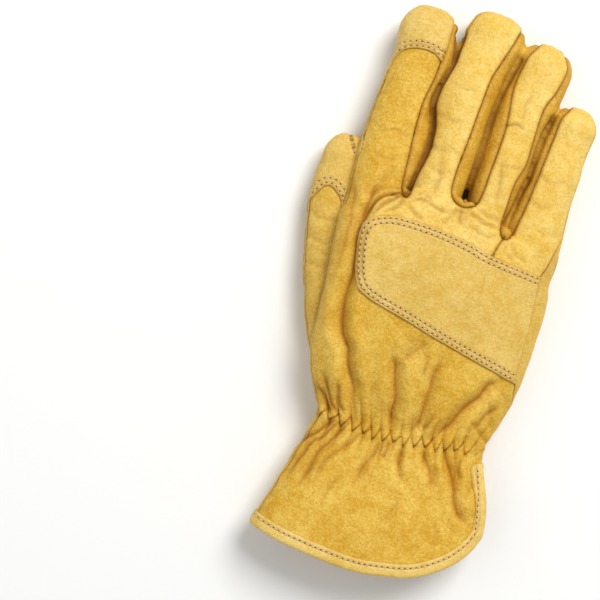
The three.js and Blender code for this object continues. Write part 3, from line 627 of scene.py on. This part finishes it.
def lifted(form, height, shade_and_mottle=None):
    """Moves each vertex along its normal, and may set its painted shade."""
    dark = form.verts.layers.float["shade_and_mottle"]
    normals = [vert.normal.copy() for vert in form.verts]
    for i, (vert, normal) in enumerate(zip(form.verts, normals)):
        vert.co += normal * float(height[i])
        vert.co.z = max(vert.co.z, .05)
        if shade_and_mottle is not None:
            vert[dark] = min(1.2, float(shade_and_mottle[i]))
    form.normal_update()
    return form


def add_piece(form, name, material, nodes=(), wall=0.0, share=None):
    """A finished piece: in metres, at the part's own origin, riding on its one body. A skin's wall goes
    inwards, and a share for each corner may thin it."""
    mesh = bpy.data.meshes.new(name)
    bmesh.ops.transform(form, matrix=Matrix.Scale(MM, 4) @ Matrix.Translation(SHIFT), verts=form.verts)
    for face in form.faces:
        face.smooth = True
    form.to_mesh(mesh)
    form.free()
    piece = bpy.data.objects.new(name, mesh)
    bpy.context.scene.collection.objects.link(piece)
    piece.data.materials.append(material)
    if wall:
        shell = piece.modifiers.new("wall", "SOLIDIFY")
        shell.thickness, shell.offset = wall * MM, -1
        if share is not None:
            group = piece.vertex_groups.new(name="wall_share")
            for i, value in enumerate(share):
                group.add([i], float(value), "REPLACE")
            shell.vertex_group = group.name
    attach(piece, "root")
    if nodes:
        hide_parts(*nodes)
    return piece


# Materials

def linear(code):
    """An sRGB hex colour as Blender's linear values."""
    parts = [int(code[i:i + 2], 16) / 255 for i in (1, 3, 5)]
    return tuple(c / 12.92 if c <= .04045 else ((c + .055) / 1.055) ** 2.4 for c in parts) + (1.0,)


def node(tree, kind, links=None, **settings):
    """Adds a node with its settings, and links its inputs from other nodes' outputs."""
    new = tree.nodes.new("ShaderNode" + kind)
    for name, value in settings.items():
        if name.startswith("in_"):
            key = name[3:]
            new.inputs[int(key) if key.isdigit() else key.replace("_", " ")].default_value = value
        else:
            setattr(new, name, value)
    for name, output in (links or {}).items():
        tree.links.new(output, new.inputs[name])
    return new


def per_mm(size):
    """The scale that gives a pattern cell of a size in millimetres on Object coordinates in metres."""
    return 1 / (size * MM)


def started(name):
    """A new material, with its node tree, its shader and the places that its patterns lie on."""
    made = bpy.data.materials.new(name)
    made.use_nodes = True
    tree = made.node_tree
    at = node(tree, "TexCoord").outputs["Object"]
    return made, tree, tree.nodes["Principled BSDF"], at


def leather(name, light, deep, shade, rough, grain, sheen):
    """Grain leather, tumbled and dyed in the drum: pebbles about 1 mm across, fine pores, a soft uneven dye
    with painted shade that darkens it in the creases, and a low satin gloss."""
    made, tree, shader, at = started(name)
    shade_and_mottle = node(tree, "Attribute", attribute_name="shade_and_mottle").outputs["Fac"]
    cloud, patch, speckle, pores = (
        node(tree, "TexNoise", {"Vector": at}, in_Scale=per_mm(size), in_Detail=detail)
        for size, detail in ((24, 3.0), (5, 4.0), (1.1, 3.0), (.5, 2.0)))
    pebble = node(tree, "TexVoronoi", {"Vector": at}, in_Scale=per_mm(1.25), feature="F1")
    # The dye: clouds, patches and speckle mixed between its light and its deep tone.
    blend = node(tree, "Math", {0: cloud.outputs["Fac"], 1: patch.outputs["Fac"]}, operation="ADD")
    grainy = node(tree, "Math", {0: speckle.outputs["Fac"], 2: blend.outputs[0]}, operation="MULTIPLY_ADD",
                  in_1=1.5)
    tone = node(tree, "MapRange", {"Value": grainy.outputs[0]}, in_1=1.42, in_2=2.08)
    dye = node(tree, "Mix", {"Factor": tone.outputs[0]}, data_type="RGBA", in_6=linear(deep),
               in_7=linear(light))
    # Fine wrinkles run here and there along a wavy pattern's middle values, and add their painted shade to
    # that of the folds' creases.
    course = node(tree, "TexNoise", {"Vector": at}, in_Scale=per_mm(7), in_Detail=3.0, in_Distortion=.5)
    level = node(tree, "Math", {0: course.outputs["Fac"]}, operation="SUBTRACT", in_1=.5)
    ridge = node(tree, "Math", {0: level.outputs[0]}, operation="ABSOLUTE")
    thin = node(tree, "MapRange", {"Value": ridge.outputs[0]}, in_2=.02, in_3=1.0, in_4=0.0)
    where = node(tree, "MapRange", {"Value": cloud.outputs["Fac"]}, in_1=.46, in_2=.62)
    wrinkle = node(tree, "Math", {0: thin.outputs[0], 1: where.outputs[0]}, operation="MULTIPLY")
    lined = node(tree, "Math", {0: wrinkle.outputs[0], 2: shade_and_mottle}, operation="MULTIPLY_ADD", in_1=.22)
    # Painted shade: the creases and the fine wrinkles mix the dye towards the shade colour.
    depth = node(tree, "MapRange", {"Value": lined.outputs[0]}, in_1=.04, in_2=1.0, in_4=.92)
    painted_shade = node(tree, "Mix", {"Factor": depth.outputs[0], 6: dye.outputs[2]}, data_type="RGBA",
                in_7=linear(shade))
    tree.links.new(painted_shade.outputs[2], shader.inputs["Base Color"])
    # The grain: round pebbles with pores between them, and the wrinkles pressed in.
    rise = node(tree, "Math", {0: pebble.outputs["Distance"]}, operation="MULTIPLY", in_1=-.55)
    pebbled = node(tree, "Math", {0: pores.outputs["Fac"], 1: rise.outputs[0]}, operation="ADD")
    fine = node(tree, "Math", {0: wrinkle.outputs[0], 2: pebbled.outputs[0]},
                operation="MULTIPLY_ADD", in_1=-.5)
    bump = node(tree, "Bump", {"Height": fine.outputs[0]}, in_Strength=.5 * grain, in_Distance=.5 * MM)
    tree.links.new(bump.outputs[0], shader.inputs["Normal"])
    gloss = node(tree, "MapRange", {"Value": patch.outputs["Fac"]}, in_3=rough - .06, in_4=rough + .06)
    tree.links.new(gloss.outputs[0], shader.inputs["Roughness"])
    for socket, value in (("IOR", 1.45), ("Specular IOR Level", .35), ("Sheen Weight", sheen),
                          ("Sheen Roughness", .4), ("Sheen Tint", linear("#F6DC96"))):
        shader.inputs[socket].default_value = value
    return made


def plain(name, colour, rough):
    """A small even finish with a fibre's slight unevenness."""
    made, tree, shader, at = started(name)
    fibre = node(tree, "TexNoise", {"Vector": at}, in_Scale=per_mm(.8), in_Detail=2.0)
    dark = tuple(c * .72 for c in linear(colour)[:3]) + (1.0,)
    shade = node(tree, "Mix", {"Factor": fibre.outputs["Fac"]}, data_type="RGBA", in_6=dark,
                 in_7=linear(colour))
    tree.links.new(shade.outputs[2], shader.inputs["Base Color"])
    bump = node(tree, "Bump", {"Height": fibre.outputs["Fac"]}, in_Strength=.3, in_Distance=.2 * MM)
    tree.links.new(bump.outputs[0], shader.inputs["Normal"])
    shader.inputs["Roughness"].default_value = rough
    return made


# Each leather's light and deep dye colour, the colour of the painted shade in its creases, its roughness, the
# strength of its grain, and its sheen.
# Smooth top grain on the knuckles and the little finger: the eye sees pale gold with a fine pebble.
KNUCKLE_LEATHER = leather("grain_leather", "#EBCB70", "#DAAD3A", "#A66E06", .56, 1, .05)
# Softer, looser hide on the back: deeper orange-gold, matt, with the coarsest grain.
BACK_LEATHER = leather("soft_leather", "#E5BF54", "#CC991C", "#A46602", .62, 1.2, .02)
# Palm and thumb: the same top grain, a little browner.
PALM_LEATHER = leather("palm_grain_leather", "#E4C060", "#CFA336", "#9A660A", .56, 1, .05)
# Narrow strips between the fingers: the darkest, their colour holding painted shade of the valleys between
# the fingers, so the fingers stand apart.
STRIP_LEATHER = leather("side_strip_leather", "#DAAD40", "#C08A16", "#845202", .6, 1, .04)
# Firm pieces sewn on top: paler and less yellow, so they read as a second layer.
OVERLAY_LEATHER = leather("sewn_on_leather", "#E3C26C", "#D1A842", "#9C6C10", .55, 1, .05)
# Thin leather drawn tight over the hem: the palest and smoothest.
BINDING_LEATHER = leather("rolled_hem_leather", "#EACC78", "#DAB250", "#9C6E14", .54, .8, .05)
# Spun thread gives matt, pale dashes; the needle's holes between them are dark spots of painted shade.
THREAD = plain("spun_thread", "#E2BF92", .7)
HOLE_SHADE = plain("painted_hole_shade", "#5A3A16", .85)

# The hand and its fingers as one skin, cut along every seam and sewn-on edge.
body = bmesh.new()
add_tube(body, HAND, HAND_FULL, around=96, front=True)
for name, rows in FINGERS.items():
    add_tube(body, rows, FINGER_FULL, TIPS[name])
skin = remeshed(body, 9)
body.free()

STRIP_LINES = {name: rounded(line, 1.5, True) for name, line in STRIPS.items()}
BAND_LINE = rounded(BAND, 1.5, True)
PATCH_LINE = rounded(PALM_PATCH, 1.5, True)
QUILT_LINES = [rounded(line, 1.5, True) for line in QUILT]
INDEX_FRONT_LINE, INDEX_CAP_LINE, MIDDLE_TIP_LINE = (
    rounded(line, 1.2, True) for line in (INDEX_FRONT, INDEX_CAP, MIDDLE_TIP))
CROTCH_LINE, LITTLE_LINE = rounded(CROTCH_SEAM, 1.2), rounded(LITTLE_SEAM, 1.2)
KNUCKLE_LINE = np.concatenate([CROTCH_LINE, KNUCKLES_LOW, LITTLE_LINE[::-1], KNUCKLES_ROUND])
LITTLE_SHAPE = np.concatenate([LITTLE_LINE, LITTLE_ROUND])
FORMS = [(HAND, None)] + [(FINGERS[name], TIPS[name]) for name in FINGERS]

far_corners = [(-120, 6.4), (-120, 300), (120, 300), (120, VENT_TOP)]
hem_shape = {side: within(np.concatenate([rounded(line, 2.0), far_corners]))
             for side, line in (("back", BACK_HEM), ("palm", PALM_HEM))}
VENT_LINE = rounded(VENT, 1.5, True)
VENT_SIDE, VENT_END = 12, 76  # the slit is looked for past this x, up to this y
THROUGH, WALL_DEPTH = 8, 3  # it goes this deep into the side, and is measured straight across this far in


def hem_field(co):
    """How far inside the cuff's edge a place is: the hem in plan, and the vent up the little-finger side."""
    hem = np.where(co[:, 2] > VENT_LEVEL, hem_shape["back"](co), hem_shape["palm"](co))
    near = np.flatnonzero((co[:, 0] > VENT_SIDE) & (co[:, 1] < VENT_END))
    part = co[near]
    middle, half, _, _ = outline_at(HAND, None, part[:, 1])
    from_wall = middle + half - part[:, 0]
    away, _, inside = measure(part[:, 1:], VENT_LINE, True)
    deep = np.maximum(0, from_wall - WALL_DEPTH)
    slit = np.where(inside & (from_wall < THROUGH), -away, np.hypot(away, deep))
    hem[near] = np.minimum(hem[near], slit)
    return hem


on_back = side_field(FORMS, EDGE_INSET, SIDE_INSET)
on_top = side_field(FORMS, 0.0, NO_INSET)
cut(skin, hem_field)
skin = taken(skin, hem_field(centres(skin)) > 0)
cut(skin, lambda co: hem_field(co) - UNDER_HEM)
cut(skin, on_back)
for line in STRIP_LINES.values():
    cut(skin, within(line))
for line, upward in ((KNUCKLE_LINE, True), (LITTLE_SHAPE, True), (BAND_LINE, True), (INDEX_CAP_LINE, True),
                     (PATCH_LINE, False), (INDEX_FRONT_LINE, False), (MIDDLE_TIP_LINE, False),
                     (QUILT_LINES[0], False), (QUILT_LINES[1], False)):
    cut(skin, facing(on_top, line, upward))


def gathered_skin(co):
    """The places where the toothed crease needs a finer skin."""
    return co.x < 21 and (51 < co.y < 73 if co.z > VENT_LEVEL else 58.5 < co.y < 66.5)


wrist = [edge for edge in skin.edges if all(gathered_skin(vert.co) for vert in edge.verts)]
bmesh.ops.subdivide_edges(skin, edges=wrist, cuts=1, use_grid_fill=True)

# Which leather each face belongs to.
middles = centres(skin)
top = on_back(middles) > 0
upper_half = on_top(middles) > OUTSIDE
strip_masks = {name: within(line)(middles) > 0 for name, line in STRIP_LINES.items()}
in_strip = np.any(list(strip_masks.values()), axis=0)
main = (hem_field(middles) > UNDER_HEM) & ~in_strip
knuckle_mask = top & ~in_strip & (within(KNUCKLE_LINE)(middles) > 0)
little_mask = top & ~in_strip & ~knuckle_mask & (within(LITTLE_SHAPE)(middles) > 0)
masks = {
    name: (upper_half == upward) & (within(line)(middles) > 0) & ~in_strip
    for name, line, upward in (("index_cap", INDEX_CAP_LINE, True), ("index_front", INDEX_FRONT_LINE, False),
                               ("middle_tip", MIDDLE_TIP_LINE, False), ("patch", PATCH_LINE, False))}
masks["band"] = upper_half & top & (within(BAND_LINE)(middles) > 0)
SEAM_DEPTH, SEAM_WIDTH = .6, .7
UNDER_BAND = .6  # the short seams run on this far under the band


def side_groove(co, side_of, level, cap, front):
    """The groove of a side seam, left out where a sewn-on leather wraps over it."""
    side = side_of(co)
    wrapped = np.where(level(co) > OUTSIDE, within(cap)(co), within(front)(co)) > 0
    return np.where((side > NEAR_SEAM) & ~wrapped, np.abs(side), FAR), SEAM_DEPTH, SEAM_WIDTH


def hand_seams(co):
    """The distance to each seam, with the depth and half-width of its groove."""
    found = [side_groove(co, on_back, on_top, INDEX_CAP_LINE, INDEX_FRONT_LINE)]
    for line in STRIP_LINES.values():
        found.append((measure(co, line, True)[0], .85, SEAM_WIDTH))
    for line in SLITS:
        found.append((measure(co, rounded(line, 2.0))[0], 1.2, 1.2))
    bare = (on_top(co) > OUTSIDE) & (within(BAND_LINE)(co) < UNDER_BAND)
    for line, depth in ((LITTLE_LINE, SEAM_DEPTH), (CROTCH_LINE, .35)):
        found.append((np.where(bare, measure(co, line)[0], FAR), depth, SEAM_WIDTH))
    return found


def hem_freedom(co):
    """The hem holds the leather beside it still."""
    return .1 + .9 * soft_step(hem_field(co), 2.5, 12)


dressed(skin, hand_seams, (BACK_FOLDS, CREASES), True, hem_freedom)


# The leathers of the hand, each one layer thick.
def panel(source, mask, name, material, node_name):
    return add_piece(taken(source, mask), name, material, [node_name], LEATHER)


panel(skin, main & top & ~knuckle_mask & ~little_mask, "back_leather", BACK_LEATHER,
      "back_panel")
panel(skin, main & knuckle_mask, "knuckle_leather", KNUCKLE_LEATHER, "knuckle_panel")
panel(skin, main & little_mask, "little_finger_back", KNUCKLE_LEATHER, "little_back")
panel(skin, main & ~top, "palm_leather", PALM_LEATHER, "palm_panel")
for name, mask in strip_masks.items():
    panel(skin, mask, "strip_" + name, STRIP_LEATHER, "fourchette_" + name)

# The thumb is a tube of its own, sewn in at the side of the hand.
body = bmesh.new()
add_tube(body, THUMB, FINGER_FULL, TIPS["thumb"])
thumb = remeshed(body, 7)
body.free()
THUMB_CAP_LINE, THUMB_FRONT_LINE, THUMB_WINDOW_LINE = (
    rounded(line, 1.2, True) for line in (THUMB_CAP, THUMB_FRONT, THUMB_WINDOW))
THUMB_FORM = [(THUMB, TIPS["thumb"])]
thumb_side = side_field(THUMB_FORM, EDGE_INSET, SIDE_INSET)
thumb_level = side_field(THUMB_FORM, 0.0, NO_INSET)
cut(thumb, thumb_side)
for line, upward in ((THUMB_CAP_LINE, True), (THUMB_FRONT_LINE, False), (THUMB_WINDOW_LINE, False)):
    cut(thumb, facing(thumb_level, line, upward))
middles = centres(thumb)
thumb_top = thumb_side(middles) > 0
thumb_front = (within(THUMB_FRONT_LINE)(middles) > 0) & (within(THUMB_WINDOW_LINE)(middles) < 0)
thumb_sewn = np.where(thumb_level(middles) > OUTSIDE, within(THUMB_CAP_LINE)(middles) > 0, thumb_front)


def thumb_seams(co):
    return [side_groove(co, thumb_side, thumb_level, THUMB_CAP_LINE, THUMB_FRONT_LINE)]


dressed(thumb, thumb_seams, (THUMB_FOLDS,))
panel(thumb, thumb_top, "thumb_back_leather", PALM_LEATHER, "thumb_back")
panel(thumb, ~thumb_top, "thumb_palm_leather", PALM_LEATHER, "thumb_palm")

# The sewn-on leathers, each a layer over the skin with a cut edge and pressed stitch rows.
SURFACES = {}  # what the stitches of each leather are laid on
FOOT = .1  # how high a sewn-on leather's edge stands


def edge_distance(form):
    """How far each vertex of a piece is from the piece's own edge."""
    rest = rest_of(form)
    rim = [vert.index for vert in form.verts if vert.is_boundary]
    tree = kdtree.KDTree(len(rim))
    for i in rim:
        tree.insert(rest[i], i)
    tree.balance()
    return np.array([tree.find(place)[2] for place in rest])


def from_outline(co, forms):
    """How far inside the outline of the tubes a place is in plan."""
    best = np.full(len(co), OUTSIDE)
    for rows, tip in forms:
        middle, half, _, _ = outline_at(rows, tip, co[:, 1])
        value = np.minimum(half - np.abs(co[:, 0] - middle), tip[0] - co[:, 1])
        best = np.maximum(best, np.where(co[:, 1] < rows[0][0], OUTSIDE, value))
    return best


def sewn_on(source, mask, name, node_name, lines, swell=None, hugs=None):
    """A leather over the skin, with its rows pressed in beside its lines, and painted shade at its edge and
    in its rows. It may swell, and it may hug a tube where it wraps round."""
    form = taken(source, mask, 1)
    rest, away = rest_of(form), edge_distance(form)
    dark = form.verts.layers.float["shade_and_mottle"]
    shade_and_mottle = np.array([vert[dark] for vert in form.verts])
    rise = FOOT + (OVERLAY - FOOT) * np.sqrt(1 - (1 - np.clip(away / .9, 0, 1)) ** 2)
    # Painted shade where the edge steps down to the skin, and in each pressed row.
    shade_and_mottle += .45 * bell(away, .5)
    for line, closed in lines:
        from_line = measure(rest, line, closed)[0]
        for row in ROWS:
            rise -= .3 * bell(from_line - row, .55)
            shade_and_mottle += .3 * bell(from_line - row, .5)
    if swell is not None:
        more, painted_shade = swell(rest)
        rise, shade_and_mottle = rise + more * soft_step(away, 3, 7), shade_and_mottle + painted_shade
    if hugs:
        rise = .2 + (rise - .2) * soft_step(from_outline(rest, hugs), -.5, 2.5)
    lifted(form, rise, shade_and_mottle)
    SURFACES[name] = BVHTree.FromBMesh(form)
    return add_piece(form, name, OVERLAY_LEATHER, [node_name], OVERLAY + .3)


def quilted(rest):
    """The pad's filling rises between its sewn lines, and the sunk lines get painted shade."""
    away = np.minimum(*(measure(rest, line, True)[0] for line in QUILT_LINES))
    return .75 * soft_step(away, 0, 6) - .7 * bell(away, .8), .5 * bell(away, .6)


BAND_EDGE = rounded(BAND[11:] + BAND[:9], 1.2)
INDEX_ARC = rounded(INDEX_CAP[6:13], 1.0)
THUMB_ARC = rounded(THUMB_CAP[1:8], 1.0)
FRONT_ROW = rounded(INDEX_FRONT[2:14], 1.0)
TIP_ROW = rounded(MIDDLE_TIP[:3], 1.0)
THUMB_LOW = rounded(THUMB_FRONT[:5], 1.0)
THUMB_TIP_SEAM = rounded(THUMB_FOLDS[-1][0], 1.0)

sewn_on(skin, masks["band"], "knuckle_band_leather", "knuckle_band", [(BAND_EDGE, False)])
pad = sewn_on(skin, masks["patch"], "palm_patch_leather", "palm_patch", [(PATCH_LINE, True)], quilted)
sewn_on(skin, masks["index_cap"] | masks["index_front"], "index_overlay_leather", "index_overlay",
        [(INDEX_ARC, False), (FRONT_ROW, False)], hugs=[(INDEX, TIPS["index"])])
sewn_on(skin, masks["middle_tip"], "middle_tip_leather", "middle_tip_patch", [(TIP_ROW, False)],
        hugs=[(MIDDLE, TIPS["middle"])])
sewn_on(thumb, thumb_sewn, "thumb_overlay_leather", "thumb_overlay",
        [(THUMB_ARC, False), (THUMB_LOW, False), (THUMB_WINDOW_LINE, True)], hugs=[(THUMB, TIPS["thumb"])])


def hem_band(co):
    """Positive where the rolled hem lies. It ends with a rounded corner at the vent's top."""
    wide = np.maximum(0, hem_field(co) - BINDING_WIDTH + HEM_CORNER)
    past = np.maximum(0, co[:, 1] - VENT_TOP + HEM_CORNER)
    return HEM_CORNER - np.hypot(wide, past)


# The hem: a strip of thin leather rolled round the edge, over the vent's sides as well.
ROLL_REACH = 1.9  # the roll is as high as the rest of the hem this far in
HEM_LOW, HEM_RISE, HEM_WALL = -.6, 1.6, 3.0
RIM_SHARE = .03  # what stays of the wall at the hem's rim, so that no face there is without area
cut(skin, hem_band)
hem = taken(skin, hem_band(centres(skin)) > 0, 1)
hem_rest = rest_of(hem)
depth_in, to_end = hem_field(hem_rest), hem_band(hem_rest)
roll = np.sqrt(1 - (1 - np.clip(depth_in / ROLL_REACH, 0, 1)) ** 2)
outer = HEM_LOW + HEM_RISE * roll
outer -= .3 * bell(depth_in - HEM_ROW, .55) + .75 * (1 - soft_step(to_end, 0, .8))
hem_dark = hem.verts.layers.float["shade_and_mottle"]
# The hem's painted shade: half of the skin's below it, with more in the stitch row and at the hem's end.
hem_crease = np.array([vert[hem_dark] for vert in hem.verts]) * .5 + .3 * bell(depth_in - HEM_ROW, .5)
hem_crease += .5 * bell(to_end, .5)
lifted(hem, outer, hem_crease)
SURFACES["rolled_hem"] = BVHTree.FromBMesh(hem)
add_piece(hem, "rolled_hem", BINDING_LEATHER, ["cuff_binding"], HEM_WALL,
          np.maximum(roll, RIM_SHARE))

# Thread: one small stitch after another along each row, with dark spots of painted shade for the needle's
# holes between.
STITCH = (1.0, .46, .32)  # half a stitch's length, width and height
NEEDLE = (.42, .42, .2)
STITCH_LIFT = .16
ABOVE, BELOW = 90, -20  # heights that the rays to the leather start from
STEEP_AT_VENT, STEEP_ELSEWHERE = .12, .4  # no stitch lies where the leather is steeper than this


def beside(line, offset, closed=False):
    """A line moved sideways in plan, to its left for a positive offset."""
    ahead = np.roll(line, -1, 0) - np.roll(line, 1, 0) if closed else np.gradient(line, axis=0)
    ahead /= np.maximum(np.hypot(*ahead.T), 1e-9)[:, None]
    return line + offset * np.stack([-ahead[:, 1], ahead[:, 0]], 1)


def row_of(stitches, hole_shades, tree, line, under, closed):
    """Lays one row of stitches, with dark spots of painted shade for the needle's holes, on a leather, seen
    from above or from below.
    """
    way = Vector((0, 0, 1 if under else -1))
    if closed:
        line = np.concatenate([line, line[:1]])
    steps = np.hypot(*np.diff(line, axis=0).T)
    run = np.concatenate([[0], np.cumsum(steps)])
    count = int(run[-1] / STITCH_PITCH)
    for k in range(2 * count):
        t = (k + .5) * run[-1] / (2 * count)
        x, y = (float(np.interp(t, run, line[:, axis])) for axis in (0, 1))
        ahead = [float(np.interp(t + .4, run, line[:, axis]) - np.interp(t - .4, run, line[:, axis]))
                 for axis in (0, 1)]
        start = Vector((x, y, BELOW if under else ABOVE))
        spot, normal, _, _ = tree.ray_cast(start, way)
        if spot is None or -normal.dot(way) < (STEEP_AT_VENT if y < VENT_TOP else STEEP_ELSEWHERE):
            continue
        step = Vector((*ahead, 0)).normalized() * STITCH_PITCH / 2
        if any(tree.ray_cast(start + side * step, way)[0] is None for side in (-1, 1)):
            continue
        along = Vector((*ahead, 0))
        along = (along - along.dot(normal) * normal).normalized()
        turn = Matrix((along, normal.cross(along), normal)).transposed().to_4x4()
        form, size, lift = (hole_shades, NEEDLE, 0) if k % 2 else (stitches, STITCH, STITCH_LIFT)
        place = Matrix.Translation(spot + lift * normal) @ turn @ Matrix.Diagonal((*size, 1))
        bmesh.ops.create_uvsphere(form, u_segments=6, v_segments=4, radius=1, matrix=place)


def both(line, side=1, under=False, closed=False):
    """The two rows beside an edge, to one side of it."""
    return [(beside(line, side * row, closed), under, closed) for row in ROWS]


# In plan, the hem's row goes on up beside the vent.
VENT_ROWS = {"back": np.array([(27, 59.5), (28.8, 54), (31, 46), (32.8, 37)]),
             "palm": np.array([(26.4, 59.5), (28, 52), (29.4, 44), (30.4, 36)])}
HEM_ROWS = [(np.concatenate([VENT_ROWS[side], beside(rounded(line, 2.0), -HEM_ROW)]), under, False)
            for side, line, under in (("back", BACK_HEM[3:], False), ("palm", PALM_HEM[3:], True))]
ROW_SETS = [  # name, the leather that it holds, and each row with whether it is underneath and closed
    ("band", "knuckle_band_leather", both(BAND_EDGE, -1)),
    ("index_cap", "index_overlay_leather", both(INDEX_ARC)),
    ("thumb_cap", "thumb_overlay_leather", both(THUMB_ARC) + [(THUMB_TIP_SEAM, False, False)]),
    ("hem", "rolled_hem", HEM_ROWS),
    ("palm_patch", "palm_patch_leather", both(PATCH_LINE, 1, True, True)),
    ("quilting", "palm_patch_leather", [(line, True, True) for line in QUILT_LINES]),
    ("index_front", "index_overlay_leather", both(FRONT_ROW, 1, True)),
    ("middle_tip", "middle_tip_leather", both(TIP_ROW, 1, True)),
    ("thumb_front", "thumb_overlay_leather",
     both(THUMB_LOW, 1, True) + both(THUMB_WINDOW_LINE, -1, True, True)),
]
for name, held, rows in ROW_SETS:
    stitches, hole_shades = bmesh.new(), bmesh.new()
    for row in rows:
        row_of(stitches, hole_shades, SURFACES[held], *row)
    add_piece(stitches, "stitches_" + name, THREAD)
    add_piece(hole_shades, "painted_hole_shades_" + name, HOLE_SHADE)

# A matt pale floor, the view from straight above, and the light of one soft window.
bpy.ops.mesh.primitive_plane_add(size=6)
floor = bpy.context.object
floor.name = "floor"
ground = bpy.data.materials.new("pale_floor")
ground.use_nodes = True
finish = ground.node_tree.nodes["Principled BSDF"].inputs
finish["Base Color"].default_value, finish["Roughness"].default_value = linear("#F4F4F2"), .9
floor.data.materials.append(ground)

camera = bpy.data.objects.new("camera", bpy.data.cameras.new("camera"))
bpy.context.scene.collection.objects.link(camera)
camera.data.lens, camera.data.sensor_width = 100, 36
camera.location = (-.05145, -.02098, .7867)
camera.rotation_euler = (0, 0, math.radians(16))
bpy.context.scene.camera = camera


def area_light(name, place, size, power):
    """A soft white lamp turned to the middle of the floor."""
    light = bpy.data.objects.new(name, bpy.data.lights.new(name, "AREA"))
    bpy.context.scene.collection.objects.link(light)
    light.data.size, light.data.energy = size, power
    light.location = place
    light.rotation_euler = (-Vector(place)).to_track_quat("-Z", "Y").to_euler()


area_light("window", (.42, .95, 1.35), .8, 25)
area_light("fill", (-.8, -.3, .9), 1.2, 3)
bpy.context.scene.view_settings.view_transform = "Standard"
world = bpy.data.worlds.new("studio")
world.use_nodes = True
sky = world.node_tree.nodes["Background"].inputs
sky["Color"].default_value, sky["Strength"].default_value = linear("#FFFFFF"), .42
bpy.context.scene.world = world
